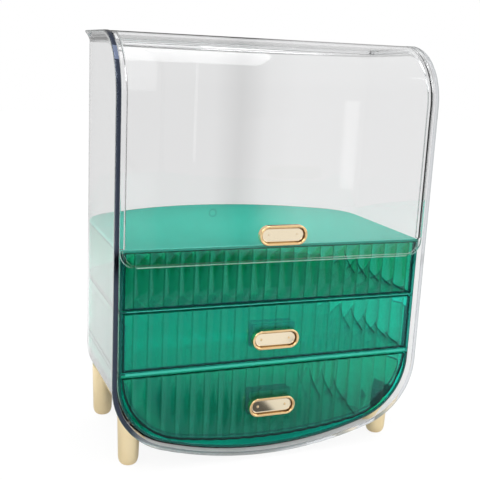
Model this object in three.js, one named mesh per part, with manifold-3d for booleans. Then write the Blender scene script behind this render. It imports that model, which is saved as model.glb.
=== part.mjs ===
// Dustproof makeup organizer: a clear case with a hinged lid over a green cabinet with drawers.
// Millimetres, +Z up, front towards -Y, origin on the table under the middle of the whole outline.
import * as THREE from 'three';
import { mergeVertices } from 'three/addons/utils/BufferGeometryUtils.js';
import Module from 'manifold-3d';

const wasm = await Module();
wasm.setup();

// Whole object
const OVERALL_WIDTH = 300;
const OVERALL_HEIGHT = 383;
const CASE_DEPTH = 210;
const FOOT_GAP = 5.3;

// Case: a tub that is open at the front and on top, with a raised rim round the opening
const RIM_FLARE = 4;
const RIM_DEPTH = 9;
const CASE_WALL = 2.2;
const REBATE_INSET = 0.4;
const REBATE_DEPTH = 7;
const BEND_RADIUS = 54;
const BOTTOM_BOW_RADIUS = 333;
const BOTTOM_CORNER_RADIUS = 63;
const BACK_BOW_RADIUS = 218;
const BACK_CORNER_RADIUS = 48;

// Cabinet: green walls, plates and a rounded base that stand inside the case
const CABINET_CLEARANCE = 0.4;
const CABINET_WALL = 2.4;
const CABINET_SETBACK = 4;
const SEAT_GAP = 0.3;
const SHELF_HEIGHT = 205;
const SHELF_THICKNESS = 2.5;
const SHELF_NOSE_RADIUS = 0.8;
const UPPER_DIVIDER_TOP = 151.4;
const UPPER_DIVIDER_THICKNESS = 2;
const LOWER_DIVIDER_TOP = 95.8;
const LOWER_DIVIDER_THICKNESS = 2.2;
const LOWER_DIVIDER_HEIGHT = 4.5;
const LIP_DEPTH = 3;

// Fluted fronts
const FLUTE_COUNT = 21;
const FLUTE_RISE = 1.2;
const FRONT_THICKNESS = 2.2;
const FRONT_SIDE_CLEARANCE = 0.8;
const FRONT_LIFT = 2;
const FRONT_TOP_CLEARANCE = 0.9;
const LOWER_FRONT_BOTTOM = 20;
const LOWER_FRONT_BOW_RADIUS = 500;
const LOWER_FRONT_CORNER_RADIUS = 64;

// Drawer trays
const TRAY_WALL = 2;
const TRAY_SIDE_CLEARANCE = 1.6;
const TRAY_BACK_CLEARANCE = 8;
const MIDDLE_TRAY_HEIGHT = 42;
const LOWER_TRAY_TOP = 82;
const LOWER_TRAY_INSET = 2.8;
const RUNNER_SETBACK = 54;
const RUNNER_WIDTH = 2;
const RUNNER_TOP = 40;

// Lid: one bent sheet with a stiffening flange down each side and a hinge bead at its rear edge
const LID_GAP = 0.3;
const LID_SIDE_GAP = 0.4;
const LID_THICKNESS = 2.5;
const LID_BOTTOM = 189;
const LID_CORNER_RADIUS = 15;
const LID_FLANGE_WIDTH = 4.5;
const LID_FLANGE_DEPTH = 6.4;
const FLANGE_LIFT = 3;
const HINGE_DEPTH = 118;
const BEAD_RADIUS = 3.2;
const BEAD_CLEARANCE = 1.2;
const PIN_RADIUS = 1.5;
const PIN_CLEARANCE = 0.3;
const PIN_REACH = 4.2;
const PIN_RECESS = 0.3;

// Pulls: shallow oval dishes, each on two posts that snap through the panel
const PULL_WIDTH = 45.5;
const PULL_HEIGHT = 18;
const PULL_PROUD = 6;
const PULL_RIM = 2.2;
const PULL_SLOPE = 2;
const PULL_DISH_DEPTH = 3.4;
const POST_RADIUS = 1.6;
const POST_SPACING = 27;
const POST_END = 1.2;
const LID_PULL_RISE = 25.7;
const MIDDLE_PULL_RISE = 19.6;
const LOWER_PULL_RISE = 32.6;
const BOSS_WIDTH = 41.5;
const BOSS_HEIGHT = 17.5;
const BOSS_DEPTH = 11;

// Feet: tapered round pegs, cut at the top to the curved underside, each with one screw
const FOOT_TOP_RADIUS = 11;
const FOOT_TIP_RADIUS = 9.4;
const FOOT_PAD_RADIUS = 4;
const FOOT_SIDE_SETBACK = 22;
const FRONT_FOOT_DEPTH = 27;
const REAR_FOOT_SETBACK = 24.38;
const FOOT_BLANK_HEIGHT = 66;
const SCREW_RADIUS = 1.5;
const SCREW_HEAD_RADIUS = 3.2;
const SCREW_HEAD_HEIGHT = 1.7;
const SCREW_LENGTH = 12;
const SCREW_CLEARANCE = 0.3;

// Overrun of every cutting body past what it cuts
const OVERRUN = 20;

// Facets
const ARC_STEPS = 6;
const FLUTE_STEPS = 4;
const ROUND_STEPS = 20;
const SMALL_ROUND_STEPS = 12;

// Places that follow from the sizes above
const HALF_WIDTH = OVERALL_WIDTH / 2;
const WALL_HALF_WIDTH = HALF_WIDTH - RIM_FLARE;
const WALL_BOTTOM = FOOT_GAP + RIM_FLARE;
const FRONT_Y = -(CASE_DEPTH - PULL_PROUD + LID_GAP) / 2;
const WALL_BACK_Y = FRONT_Y + CASE_DEPTH - RIM_FLARE;
const CABINET_INSET = CASE_WALL + CABINET_CLEARANCE;
const BAY_INSET = CABINET_INSET + CABINET_WALL;
const CABINET_FRONT_Y = FRONT_Y + CABINET_SETBACK;
const FRONT_BACK_Y = CABINET_FRONT_Y + FLUTE_RISE + FRONT_THICKNESS;
const TRAY_FRONT_Y = FRONT_BACK_Y + SEAT_GAP;
const HINGE_Y = FRONT_Y + HINGE_DEPTH;
const HINGE_Z = OVERALL_HEIGHT - LID_GAP - BEAD_RADIUS;
const LID_SIDE_INSET = REBATE_INSET + LID_SIDE_GAP;
const LID_HALF_WIDTH = WALL_HALF_WIDTH - LID_SIDE_INSET;
const FRONT_HALF_WIDTH = WALL_HALF_WIDTH - BAY_INSET - FRONT_SIDE_CLEARANCE;
const SHELF_LOW = SHELF_HEIGHT - SHELF_THICKNESS;
const UPPER_DIVIDER_LOW = UPPER_DIVIDER_TOP - UPPER_DIVIDER_THICKNESS;
const LOWER_DIVIDER_LOW = LOWER_DIVIDER_TOP - LOWER_DIVIDER_HEIGHT;
const LOWER_FRONT_TOP = LOWER_DIVIDER_LOW - FRONT_TOP_CLEARANCE;
const MIDDLE_FRONT_LOW = LOWER_DIVIDER_TOP + FRONT_LIFT;
const LID_PULL_HEIGHT = LID_BOTTOM + LID_PULL_RISE;
const MIDDLE_PULL_HEIGHT = MIDDLE_FRONT_LOW + MIDDLE_PULL_RISE;
const LOWER_PULL_HEIGHT = LOWER_FRONT_BOTTOM + LOWER_PULL_RISE;
const FOOT_X = HALF_WIDTH - FOOT_SIDE_SETBACK;
const REAR_CORNER_RUN = cornerRun(FOOT_X, WALL_HALF_WIDTH, BACK_BOW_RADIUS, BACK_CORNER_RADIUS);
const REAR_FOOT_DEPTH = CASE_DEPTH - RIM_FLARE - REAR_CORNER_RUN - REAR_FOOT_SETBACK;
const RUNNER_X = HALF_WIDTH - RUNNER_SETBACK;
const FAR = OVERALL_WIDTH + OVERALL_HEIGHT;

const bothSides = [-1, 1];

const feetPlaces = [
  { name: 'front_left', side: -1, depth: FRONT_FOOT_DEPTH },
  { name: 'front_right', side: 1, depth: FRONT_FOOT_DEPTH },
  { name: 'rear_left', side: -1, depth: REAR_FOOT_DEPTH },
  { name: 'rear_right', side: 1, depth: REAR_FOOT_DEPTH },
];

const COLORS = {
  clear: { color: 0xe6eaec, roughness: 0.06, metalness: 0 },
  green: { color: 0x14a578, roughness: 0.12, metalness: 0 },
  gold: { color: 0xe8c583, roughness: 0.14, metalness: 1 },
  champagne: { color: 0xe9d3a6, roughness: 0.32, metalness: 1 },
  steel: { color: 0xb9bcc0, roughness: 0.35, metalness: 1 },
};

// Solids and meshes

function toSolid(geometry) {
  const bare = geometry.index ? geometry.toNonIndexed() : geometry.clone();
  bare.deleteAttribute('normal');
  bare.deleteAttribute('uv');
  const merged = mergeVertices(bare);
  return new wasm.Manifold(
    new wasm.Mesh({
      numProp: 3,
      vertProperties: new Float32Array(merged.attributes.position.array),
      triVerts: new Uint32Array(merged.index.array),
    }),
  );
}

function toGeometry(solid) {
  const mesh = solid.getMesh();
  const geometry = new THREE.BufferGeometry();
  const positions = new Float32Array((mesh.vertProperties.length / mesh.numProp) * 3);
  for (let vertex = 0; vertex < positions.length / 3; vertex += 1) {
    for (let axis = 0; axis < 3; axis += 1) {
      positions[vertex * 3 + axis] = mesh.vertProperties[vertex * mesh.numProp + axis];
    }
  }
  geometry.setAttribute('position', new THREE.BufferAttribute(positions, 3));
  geometry.setIndex(new THREE.BufferAttribute(new Uint32Array(mesh.triVerts), 1));
  geometry.computeVertexNormals();
  return geometry;
}

// A plan shape, drawn in X and Y, drawn out from one height to another
function extrudeUp(shape, low, high) {
  const geometry = new THREE.ExtrudeGeometry(shape, {
    depth: high - low,
    bevelEnabled: false,
    curveSegments: ARC_STEPS,
  });
  geometry.translate(0, 0, low);
  return toSolid(geometry);
}

// A front view, drawn in X and Z, drawn out from front to back
function extrudeBack(shape, front, back) {
  const geometry = new THREE.ExtrudeGeometry(shape, {
    depth: back - front,
    bevelEnabled: false,
    curveSegments: ARC_STEPS,
  });
  const turn = new THREE.Matrix4().makeBasis(
    new THREE.Vector3(1, 0, 0),
    new THREE.Vector3(0, 0, 1),
    new THREE.Vector3(0, -1, 0),
  );
  geometry.applyMatrix4(turn);
  geometry.translate(0, back, 0);
  return toSolid(geometry);
}

// A side view, drawn in Y and Z, drawn out from left to right
function extrudeAcross(shape, left, right) {
  const geometry = new THREE.ExtrudeGeometry(shape, {
    depth: right - left,
    bevelEnabled: false,
    curveSegments: ARC_STEPS,
  });
  const turn = new THREE.Matrix4().makeBasis(
    new THREE.Vector3(0, 1, 0),
    new THREE.Vector3(0, 0, 1),
    new THREE.Vector3(1, 0, 0),
  );
  geometry.applyMatrix4(turn);
  geometry.translate(left, 0, 0);
  return toSolid(geometry);
}

function block(left, right, front, back, low, high) {
  const geometry = new THREE.BoxGeometry(right - left, back - front, high - low);
  geometry.translate((left + right) / 2, (front + back) / 2, (low + high) / 2);
  return toSolid(geometry);
}

function rodAcross(radius, left, right, y, z, steps) {
  const geometry = new THREE.CylinderGeometry(radius, radius, right - left, steps);
  geometry.rotateZ(Math.PI / 2);
  geometry.translate((left + right) / 2, y, z);
  return toSolid(geometry);
}

function rodBack(radius, x, z, front, back, steps) {
  const geometry = new THREE.CylinderGeometry(radius, radius, back - front, steps);
  geometry.translate(x, (front + back) / 2, z);
  return toSolid(geometry);
}

// Outlines

// Straight sides, round corners and a bowed closed end. The second coordinate is the
// distance from the middle of the bowed end.
function bowedOutline(halfWidth, length, bowRadius, cornerRadius) {
  const cornerX = halfWidth - cornerRadius;
  const cornerV = bowRadius - Math.sqrt((bowRadius - cornerRadius) ** 2 - cornerX ** 2);
  const joint = Math.atan2(cornerV - bowRadius, cornerX);
  const shape = new THREE.Shape();
  shape.moveTo(halfWidth, length);
  shape.lineTo(halfWidth, cornerV);
  shape.absarc(cornerX, cornerV, cornerRadius, 0, joint, true);
  shape.absarc(0, bowRadius, bowRadius, joint, -Math.PI - joint, true);
  shape.absarc(-cornerX, cornerV, cornerRadius, -Math.PI - joint, -Math.PI, true);
  shape.lineTo(-halfWidth, length);
  shape.closePath();
  return shape;
}

// Distance from the middle of the bowed end to the round corner, at a place across
function cornerRun(x, halfWidth, bowRadius, cornerRadius) {
  const cornerX = halfWidth - cornerRadius;
  const cornerV = bowRadius - Math.sqrt((bowRadius - cornerRadius) ** 2 - cornerX ** 2);
  return cornerV - Math.sqrt(cornerRadius ** 2 - (x - cornerX) ** 2);
}

function placed(shape, place) {
  return new THREE.Shape(shape.getPoints(ARC_STEPS).map(place));
}

// Front view of the case wall, moved inwards by an inset
function frontOutline(inset) {
  const bottom = WALL_BOTTOM + inset;
  const shape = bowedOutline(
    WALL_HALF_WIDTH - inset,
    OVERALL_HEIGHT + OVERRUN - bottom,
    BOTTOM_BOW_RADIUS - inset,
    BOTTOM_CORNER_RADIUS - inset,
  );
  return placed(shape, (point) => new THREE.Vector2(point.x, bottom + point.y));
}

// Plan of the case wall, moved inwards by an inset
function planOutline(inset, front = FRONT_Y - OVERRUN, backInset = inset) {
  const back = WALL_BACK_Y - backInset;
  const shape = bowedOutline(
    WALL_HALF_WIDTH - inset,
    back - front,
    BACK_BOW_RADIUS - backInset,
    BACK_CORNER_RADIUS - backInset,
  );
  return placed(shape, (point) => new THREE.Vector2(point.x, back - point.y));
}

// Side view of everything behind the front face and under the top face, with the bend
// between them, moved inwards by an inset
function openingOutline(inset) {
  const front = FRONT_Y + inset;
  const top = OVERALL_HEIGHT - inset;
  const radius = BEND_RADIUS - inset;
  const shape = new THREE.Shape();
  shape.moveTo(front, -FAR);
  shape.lineTo(front, top - radius);
  shape.absarc(front + radius, top - radius, radius, Math.PI, Math.PI / 2, true);
  shape.lineTo(FAR, top);
  shape.lineTo(FAR, -FAR);
  shape.closePath();
  return shape;
}

function opening(inset) {
  return extrudeAcross(openingOutline(inset), -HALF_WIDTH - OVERRUN, HALF_WIDTH + OVERRUN);
}

// The space inside the case wall moved inwards by an inset
function tub(inset) {
  const front = extrudeBack(frontOutline(inset), FRONT_Y - OVERRUN, WALL_BACK_Y + OVERRUN);
  const plan = extrudeUp(planOutline(inset), 0, OVERALL_HEIGHT + OVERRUN);
  return front.intersect(plan);
}

function openingBand(outerInset, innerInset) {
  return opening(outerInset).subtract(opening(innerInset));
}

function stadium(width, height) {
  const radius = height / 2;
  const reach = width / 2 - radius;
  const shape = new THREE.Shape();
  shape.moveTo(reach, -radius);
  shape.absarc(reach, 0, radius, -Math.PI / 2, Math.PI / 2, false);
  shape.absarc(-reach, 0, radius, Math.PI / 2, (3 * Math.PI) / 2, false);
  shape.closePath();
  return shape;
}

// Case

function pinHoles() {
  const radius = PIN_RADIUS + PIN_CLEARANCE;
  const end = HALF_WIDTH + OVERRUN;
  return rodAcross(radius, -end, end, HINGE_Y, HINGE_Z, SMALL_ROUND_STEPS);
}

function outerCase() {
  const wall = tub(0).intersect(opening(0));
  const rim = tub(-RIM_FLARE).intersect(openingBand(0, RIM_DEPTH));
  const cavity = tub(CASE_WALL).intersect(opening(-OVERRUN));
  const rebate = tub(REBATE_INSET).intersect(openingBand(-OVERRUN, REBATE_DEPTH));
  let solid = wall.add(rim).subtract(cavity).subtract(rebate).subtract(pinHoles());
  for (const foot of feetPlaces) {
    solid = solid.subtract(footScrew(foot, SCREW_CLEARANCE));
  }
  return solid;
}

function rearTopCover() {
  const front = HINGE_Y + BEAD_RADIUS + BEAD_CLEARANCE;
  const top = OVERALL_HEIGHT - LID_GAP;
  const seat = OVERALL_HEIGHT - REBATE_DEPTH + SEAT_GAP;
  const behind = block(-FAR, FAR, front, FAR, seat, top);
  const sheet = tub(LID_SIDE_INSET).intersect(block(-FAR, FAR, front, FAR, top - LID_THICKNESS, top));
  const ring = tub(LID_SIDE_INSET).subtract(tub(LID_SIDE_INSET + LID_FLANGE_WIDTH));
  return sheet.add(ring.intersect(behind));
}

function hingePin(side) {
  const outer = HALF_WIDTH - PIN_RECESS;
  const inner = LID_HALF_WIDTH - PIN_REACH;
  const ends = side < 0 ? [-outer, -inner] : [inner, outer];
  return rodAcross(PIN_RADIUS, ends[0], ends[1], HINGE_Y, HINGE_Z, SMALL_ROUND_STEPS);
}

// Lid

function lidPanel() {
  const thickness = openingBand(LID_GAP, LID_GAP + LID_THICKNESS);
  const flangeBand = openingBand(LID_GAP, LID_GAP + LID_FLANGE_DEPTH);
  const cornerX = LID_HALF_WIDTH - LID_CORNER_RADIUS;
  const cornerZ = LID_BOTTOM + LID_CORNER_RADIUS;
  const face = new THREE.Shape();
  face.moveTo(-LID_HALF_WIDTH, FAR);
  face.lineTo(-LID_HALF_WIDTH, cornerZ);
  face.absarc(-cornerX, cornerZ, LID_CORNER_RADIUS, Math.PI, 1.5 * Math.PI, false);
  face.absarc(cornerX, cornerZ, LID_CORNER_RADIUS, 1.5 * Math.PI, 2 * Math.PI, false);
  face.lineTo(LID_HALF_WIDTH, FAR);
  face.closePath();
  const sheet = extrudeBack(face, FRONT_Y, HINGE_Y).intersect(thickness);
  const flangeFoot = SHELF_HEIGHT + FLANGE_LIFT;
  const flangeSpan = block(-FAR, FAR, FRONT_Y, HINGE_Y, flangeFoot, OVERALL_HEIGHT);
  const between = LID_HALF_WIDTH - LID_FLANGE_WIDTH;
  const hollow = block(-between, between, FRONT_Y - OVERRUN, FAR, 0, FAR);
  const across = block(-LID_HALF_WIDTH, LID_HALF_WIDTH, FRONT_Y, FAR, 0, FAR);
  const flanges = flangeBand.intersect(flangeSpan).intersect(across).subtract(hollow);
  const bead = rodAcross(
    BEAD_RADIUS, -LID_HALF_WIDTH, LID_HALF_WIDTH, HINGE_Y, HINGE_Z, SMALL_ROUND_STEPS,
  );
  const blind = LID_HALF_WIDTH - PIN_REACH - PIN_CLEARANCE;
  const middle = block(-blind, blind, FRONT_Y, FAR, 0, FAR);
  const solid = sheet.add(flanges).add(bead).subtract(pinHoles().subtract(middle));
  return solid.subtract(pullPosts(FRONT_Y + LID_GAP, LID_THICKNESS, LID_PULL_HEIGHT, PIN_CLEARANCE));
}

// Pulls

function pullPosts(face, panel, height, clearance) {
  const ends = [];
  for (const side of bothSides) {
    const x = (side * POST_SPACING) / 2;
    const back = face + panel + POST_END + clearance;
    ends.push(rodBack(POST_RADIUS + clearance, x, height, face - OVERRUN, back, SMALL_ROUND_STEPS));
  }
  return ends[0].add(ends[1]);
}

// The dish stands just off the panel face, and its posts run through the panel
function pull(face, panel, height) {
  const front = face - PULL_PROUD;
  const back = face - SEAT_GAP;
  const at = (shape) => placed(shape, (point) => new THREE.Vector2(point.x, height + point.y));
  const bezel = extrudeBack(at(stadium(PULL_WIDTH, PULL_HEIGHT)), front, back);
  const mouthInset = 2 * PULL_RIM;
  const floorInset = mouthInset + 2 * PULL_SLOPE;
  const mouth = at(stadium(PULL_WIDTH - mouthInset, PULL_HEIGHT - mouthInset));
  const floor = at(stadium(PULL_WIDTH - floorInset, PULL_HEIGHT - floorInset));
  const step = PULL_DISH_DEPTH / 2;
  const dish = extrudeBack(mouth, front - OVERRUN, front + step);
  const well = extrudeBack(floor, front, front + PULL_DISH_DEPTH);
  const behind = block(-FAR, FAR, front + PULL_DISH_DEPTH + SEAT_GAP, FAR, 0, FAR);
  const posts = pullPosts(face, panel, height, 0).intersect(behind);
  return bezel.subtract(dish).subtract(well).add(posts);
}

// Cabinet

function plate(low, high) {
  return extrudeUp(planOutline(CABINET_INSET, CABINET_FRONT_Y), low, high);
}

function plateWall(low, high) {
  const bay = extrudeUp(planOutline(BAY_INSET, CABINET_FRONT_Y - OVERRUN), low - OVERRUN, high + OVERRUN);
  return plate(low, high).subtract(bay);
}

function cabinetShelf() {
  const nose = SHELF_NOSE_RADIUS;
  const edge = new THREE.Shape();
  edge.moveTo(CABINET_FRONT_Y, SHELF_LOW);
  edge.lineTo(CABINET_FRONT_Y, SHELF_HEIGHT - nose);
  edge.lineTo(CABINET_FRONT_Y + nose, SHELF_HEIGHT);
  edge.lineTo(FAR, SHELF_HEIGHT);
  edge.lineTo(FAR, SHELF_LOW);
  edge.closePath();
  return plate(SHELF_LOW, SHELF_HEIGHT).intersect(extrudeAcross(edge, -FAR, FAR));
}

function lowerDivider() {
  const full = plate(LOWER_DIVIDER_LOW, LOWER_DIVIDER_TOP);
  const deck = plate(LOWER_DIVIDER_TOP - LOWER_DIVIDER_THICKNESS, LOWER_DIVIDER_TOP);
  const skirt = plateWall(LOWER_DIVIDER_LOW, LOWER_DIVIDER_TOP);
  const lip = block(-FAR, FAR, CABINET_FRONT_Y, CABINET_FRONT_Y + LIP_DEPTH, 0, FAR);
  return deck.add(skirt).add(lip.intersect(full));
}

// Front view of the lower drawer, moved inwards by an inset and open upwards
function lowerDrawerOutline(inset) {
  const bottom = LOWER_FRONT_BOTTOM + inset;
  const shape = bowedOutline(
    FRONT_HALF_WIDTH - inset,
    FAR - bottom,
    LOWER_FRONT_BOW_RADIUS - inset,
    LOWER_FRONT_CORNER_RADIUS - inset,
  );
  return placed(shape, (point) => new THREE.Vector2(point.x, bottom + point.y));
}

function cabinetBase() {
  const top = LOWER_DIVIDER_LOW - SEAT_GAP;
  const span = block(-FAR, FAR, CABINET_FRONT_Y, FAR, 0, top);
  const shell = tub(CABINET_INSET).subtract(tub(BAY_INSET)).intersect(span);
  const trayBack = WALL_BACK_Y - BAY_INSET - TRAY_BACK_CLEARANCE;
  const trayRoom = extrudeBack(
    lowerDrawerOutline(LOWER_TRAY_INSET - SEAT_GAP), FRONT_Y - OVERRUN, FAR,
  );
  const frontRoom = extrudeBack(
    lowerDrawerOutline(-SEAT_GAP), FRONT_Y - OVERRUN, TRAY_FRONT_Y + SEAT_GAP,
  );
  let solid = shell;
  for (const side of bothSides) {
    const left = side * RUNNER_X - RUNNER_WIDTH / 2;
    const blank = block(left, left + RUNNER_WIDTH, CABINET_FRONT_Y, trayBack, 0, RUNNER_TOP);
    const rail = blank.intersect(tub(CABINET_INSET)).subtract(trayRoom).subtract(frontRoom);
    solid = solid.add(rail);
  }
  for (const foot of feetPlaces) {
    solid = solid.subtract(footScrew(foot, SCREW_CLEARANCE));
  }
  return solid;
}

// Fluted fronts

// Plan of a fluted panel: round reeds on its front face and a flat back
function flutedPlan(halfWidth) {
  const pitch = (2 * halfWidth) / FLUTE_COUNT;
  const radius = ((pitch / 2) ** 2 + FLUTE_RISE ** 2) / (2 * FLUTE_RISE);
  const sweep = Math.asin(pitch / 2 / radius);
  const points = [];
  for (let flute = 0; flute < FLUTE_COUNT; flute += 1) {
    const middle = -halfWidth + (flute + 0.5) * pitch;
    for (let step = 0; step < FLUTE_STEPS; step += 1) {
      const angle = -sweep + (2 * sweep * step) / FLUTE_STEPS;
      const x = middle + radius * Math.sin(angle);
      points.push(new THREE.Vector2(x, CABINET_FRONT_Y + radius * (1 - Math.cos(angle))));
    }
  }
  points.push(new THREE.Vector2(halfWidth, CABINET_FRONT_Y + FLUTE_RISE));
  points.push(new THREE.Vector2(halfWidth, FRONT_BACK_Y));
  points.push(new THREE.Vector2(-halfWidth, FRONT_BACK_Y));
  return new THREE.Shape(points);
}

function flutedPanel(low, high) {
  return extrudeUp(flutedPlan(FRONT_HALF_WIDTH), low, high);
}

// A boss behind the front that takes the ends of the pull's posts
function pullBoss(height) {
  const halfWidth = BOSS_WIDTH / 2;
  const front = FRONT_BACK_Y - FRONT_THICKNESS / 2;
  const back = FRONT_BACK_Y + BOSS_DEPTH;
  const low = height - BOSS_HEIGHT / 2;
  return block(-halfWidth, halfWidth, front, back, low, low + BOSS_HEIGHT);
}

function drawerFront(low, high, pullHeight) {
  const panel = FLUTE_RISE + FRONT_THICKNESS;
  const face = CABINET_FRONT_Y;
  return flutedPanel(low, high)
    .add(pullBoss(pullHeight))
    .subtract(pullPosts(face, panel, pullHeight, PIN_CLEARANCE));
}

function middleDrawerFront() {
  const high = UPPER_DIVIDER_LOW - FRONT_TOP_CLEARANCE;
  return drawerFront(MIDDLE_FRONT_LOW, high, MIDDLE_PULL_HEIGHT);
}

function lowerDrawerFront() {
  const outline = extrudeBack(lowerDrawerOutline(0), FRONT_Y - OVERRUN, FAR);
  return drawerFront(0, LOWER_FRONT_TOP, LOWER_PULL_HEIGHT).intersect(outline);
}

// Trays

function trayPlan() {
  return planOutline(BAY_INSET + TRAY_SIDE_CLEARANCE, TRAY_FRONT_Y, BAY_INSET + TRAY_BACK_CLEARANCE);
}

function trayHollowPlan() {
  const side = BAY_INSET + TRAY_SIDE_CLEARANCE + TRAY_WALL;
  const back = BAY_INSET + TRAY_BACK_CLEARANCE + TRAY_WALL;
  return planOutline(side, TRAY_FRONT_Y - OVERRUN, back);
}

function middleDrawerTray() {
  const low = LOWER_DIVIDER_TOP + SEAT_GAP;
  const high = low + MIDDLE_TRAY_HEIGHT;
  const hollow = extrudeUp(trayHollowPlan(), low + TRAY_WALL, high + OVERRUN);
  return extrudeUp(trayPlan(), low, high).subtract(hollow);
}

function lowerDrawerTray() {
  const outer = extrudeBack(lowerDrawerOutline(LOWER_TRAY_INSET), FRONT_Y, FAR);
  const inner = extrudeBack(lowerDrawerOutline(LOWER_TRAY_INSET + TRAY_WALL), FRONT_Y - OVERRUN, FAR);
  const plan = extrudeUp(trayPlan(), 0, LOWER_TRAY_TOP);
  const hollow = extrudeUp(trayHollowPlan(), 0, FAR);
  return outer.intersect(plan).subtract(inner.intersect(hollow));
}

// Feet

// A countersunk screw, square to the curved corner at the foot, with an allowance for holes
function footScrew(foot, allowance) {
  const cornerX = WALL_HALF_WIDTH - BOTTOM_CORNER_RADIUS;
  const cornerRise = cornerRun(cornerX, WALL_HALF_WIDTH, BOTTOM_BOW_RADIUS, BOTTOM_CORNER_RADIUS);
  const cornerZ = WALL_BOTTOM + cornerRise + BOTTOM_CORNER_RADIUS;
  const insideRadius = BOTTOM_CORNER_RADIUS - BAY_INSET - allowance;
  const middleRadius = BOTTOM_CORNER_RADIUS - CASE_WALL;
  const lean = Math.asin((FOOT_X - cornerX) / middleRadius);
  const head = SCREW_HEAD_RADIUS + allowance;
  const shank = SCREW_RADIUS + allowance;
  const neck = SCREW_HEAD_HEIGHT + allowance;
  const profile = [
    new THREE.Vector2(0, 0),
    new THREE.Vector2(head, 0),
    new THREE.Vector2(shank, -neck),
    new THREE.Vector2(shank, -SCREW_LENGTH - 2 * allowance),
    new THREE.Vector2(0, -SCREW_LENGTH - 2 * allowance),
  ].reverse();
  const geometry = new THREE.LatheGeometry(profile, SMALL_ROUND_STEPS);
  geometry.rotateX(Math.PI / 2);
  geometry.translate(0, 0, -insideRadius);
  geometry.rotateY(foot.side * -lean);
  geometry.translate(foot.side * cornerX, FRONT_Y + foot.depth, cornerZ);
  return toSolid(geometry);
}

function footPeg(foot) {
  const tip = new THREE.Path();
  tip.moveTo(0, 0);
  tip.lineTo(FOOT_PAD_RADIUS, 0);
  tip.quadraticCurveTo(FOOT_TIP_RADIUS, 0, FOOT_TIP_RADIUS, FOOT_TIP_RADIUS);
  tip.lineTo(FOOT_TOP_RADIUS, FOOT_BLANK_HEIGHT);
  tip.lineTo(0, FOOT_BLANK_HEIGHT);
  const geometry = new THREE.LatheGeometry(tip.getPoints(ARC_STEPS), ROUND_STEPS);
  geometry.rotateX(Math.PI / 2);
  geometry.translate(foot.side * FOOT_X, FRONT_Y + foot.depth, 0);
  return toSolid(geometry)
    .subtract(tub(-SEAT_GAP))
    .subtract(footScrew(foot, SCREW_CLEARANCE));
}

// Assembly

const organizer = new THREE.Group();

function addPiece(name, solid, finish) {
  const mesh = new THREE.Mesh(toGeometry(solid), new THREE.MeshStandardMaterial(COLORS[finish]));
  mesh.name = name;
  organizer.add(mesh);
}

addPiece('outer_case', outerCase(), 'clear');
addPiece('rear_top_cover', rearTopCover(), 'clear');
addPiece('lid_panel', lidPanel(), 'clear');
addPiece('lid_pull', pull(FRONT_Y + LID_GAP, LID_THICKNESS, LID_PULL_HEIGHT), 'gold');
addPiece('hinge_pin_left', hingePin(-1), 'steel');
addPiece('hinge_pin_right', hingePin(1), 'steel');
addPiece('cabinet_shelf', cabinetShelf(), 'green');
addPiece(
  'cabinet_upper_wall',
  plateWall(UPPER_DIVIDER_TOP + SEAT_GAP, SHELF_LOW - SEAT_GAP),
  'green',
);
addPiece(
  'upper_bay_front',
  flutedPanel(UPPER_DIVIDER_TOP + FRONT_LIFT, SHELF_LOW - SEAT_GAP),
  'green',
);
addPiece('upper_divider', plate(UPPER_DIVIDER_LOW, UPPER_DIVIDER_TOP), 'green');
addPiece(
  'cabinet_middle_wall',
  plateWall(LOWER_DIVIDER_TOP + SEAT_GAP, UPPER_DIVIDER_LOW - SEAT_GAP),
  'green',
);
addPiece('lower_divider', lowerDivider(), 'green');
addPiece('cabinet_base', cabinetBase(), 'green');
addPiece('middle_drawer_front', middleDrawerFront(), 'green');
addPiece('middle_drawer_tray', middleDrawerTray(), 'green');
addPiece(
  'middle_drawer_pull',
  pull(CABINET_FRONT_Y, FLUTE_RISE + FRONT_THICKNESS, MIDDLE_PULL_HEIGHT),
  'gold',
);
addPiece('lower_drawer_front', lowerDrawerFront(), 'green');
addPiece('lower_drawer_tray', lowerDrawerTray(), 'green');
addPiece(
  'lower_drawer_pull',
  pull(CABINET_FRONT_Y, FLUTE_RISE + FRONT_THICKNESS, LOWER_PULL_HEIGHT),
  'gold',
);
for (const foot of feetPlaces) {
  addPiece(`foot_${foot.name}`, footPeg(foot), 'champagne');
  addPiece(`foot_screw_${foot.name}`, footScrew(foot, 0), 'steel');
}

export default organizer;
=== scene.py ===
"""Dustproof makeup organizer: smooth shells, finishes, light and camera around the CAD frame."""
import logging
import math
from dataclasses import dataclass
from enum import Enum
from typing import Any, Callable

import bmesh
import bpy
from mathutils import Euler, Matrix, Vector


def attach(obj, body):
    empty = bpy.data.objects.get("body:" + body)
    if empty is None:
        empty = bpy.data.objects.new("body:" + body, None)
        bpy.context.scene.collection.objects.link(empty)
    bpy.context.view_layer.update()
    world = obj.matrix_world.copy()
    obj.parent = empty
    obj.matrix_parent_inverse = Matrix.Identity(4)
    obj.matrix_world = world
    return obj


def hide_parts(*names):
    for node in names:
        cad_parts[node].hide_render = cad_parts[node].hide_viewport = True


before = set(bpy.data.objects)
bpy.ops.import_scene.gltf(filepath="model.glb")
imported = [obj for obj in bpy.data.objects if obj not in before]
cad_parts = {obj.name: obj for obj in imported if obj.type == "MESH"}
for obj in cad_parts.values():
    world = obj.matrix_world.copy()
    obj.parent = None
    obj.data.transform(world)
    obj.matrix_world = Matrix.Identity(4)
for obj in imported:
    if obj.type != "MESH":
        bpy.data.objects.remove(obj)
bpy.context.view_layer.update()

LOG = logging.getLogger("organizer")
MM = 0.001
MERGE = 0.002 * MM
SHARP_ANGLE = math.radians(38.0)
SIDES = (-1, 1)
HANDS = ("left", "right")
# The Mix node's two colours among its inputs, and its colour among its outputs
MIX_COLOURS = (6, 7)
MIX_RESULT = 2

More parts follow.
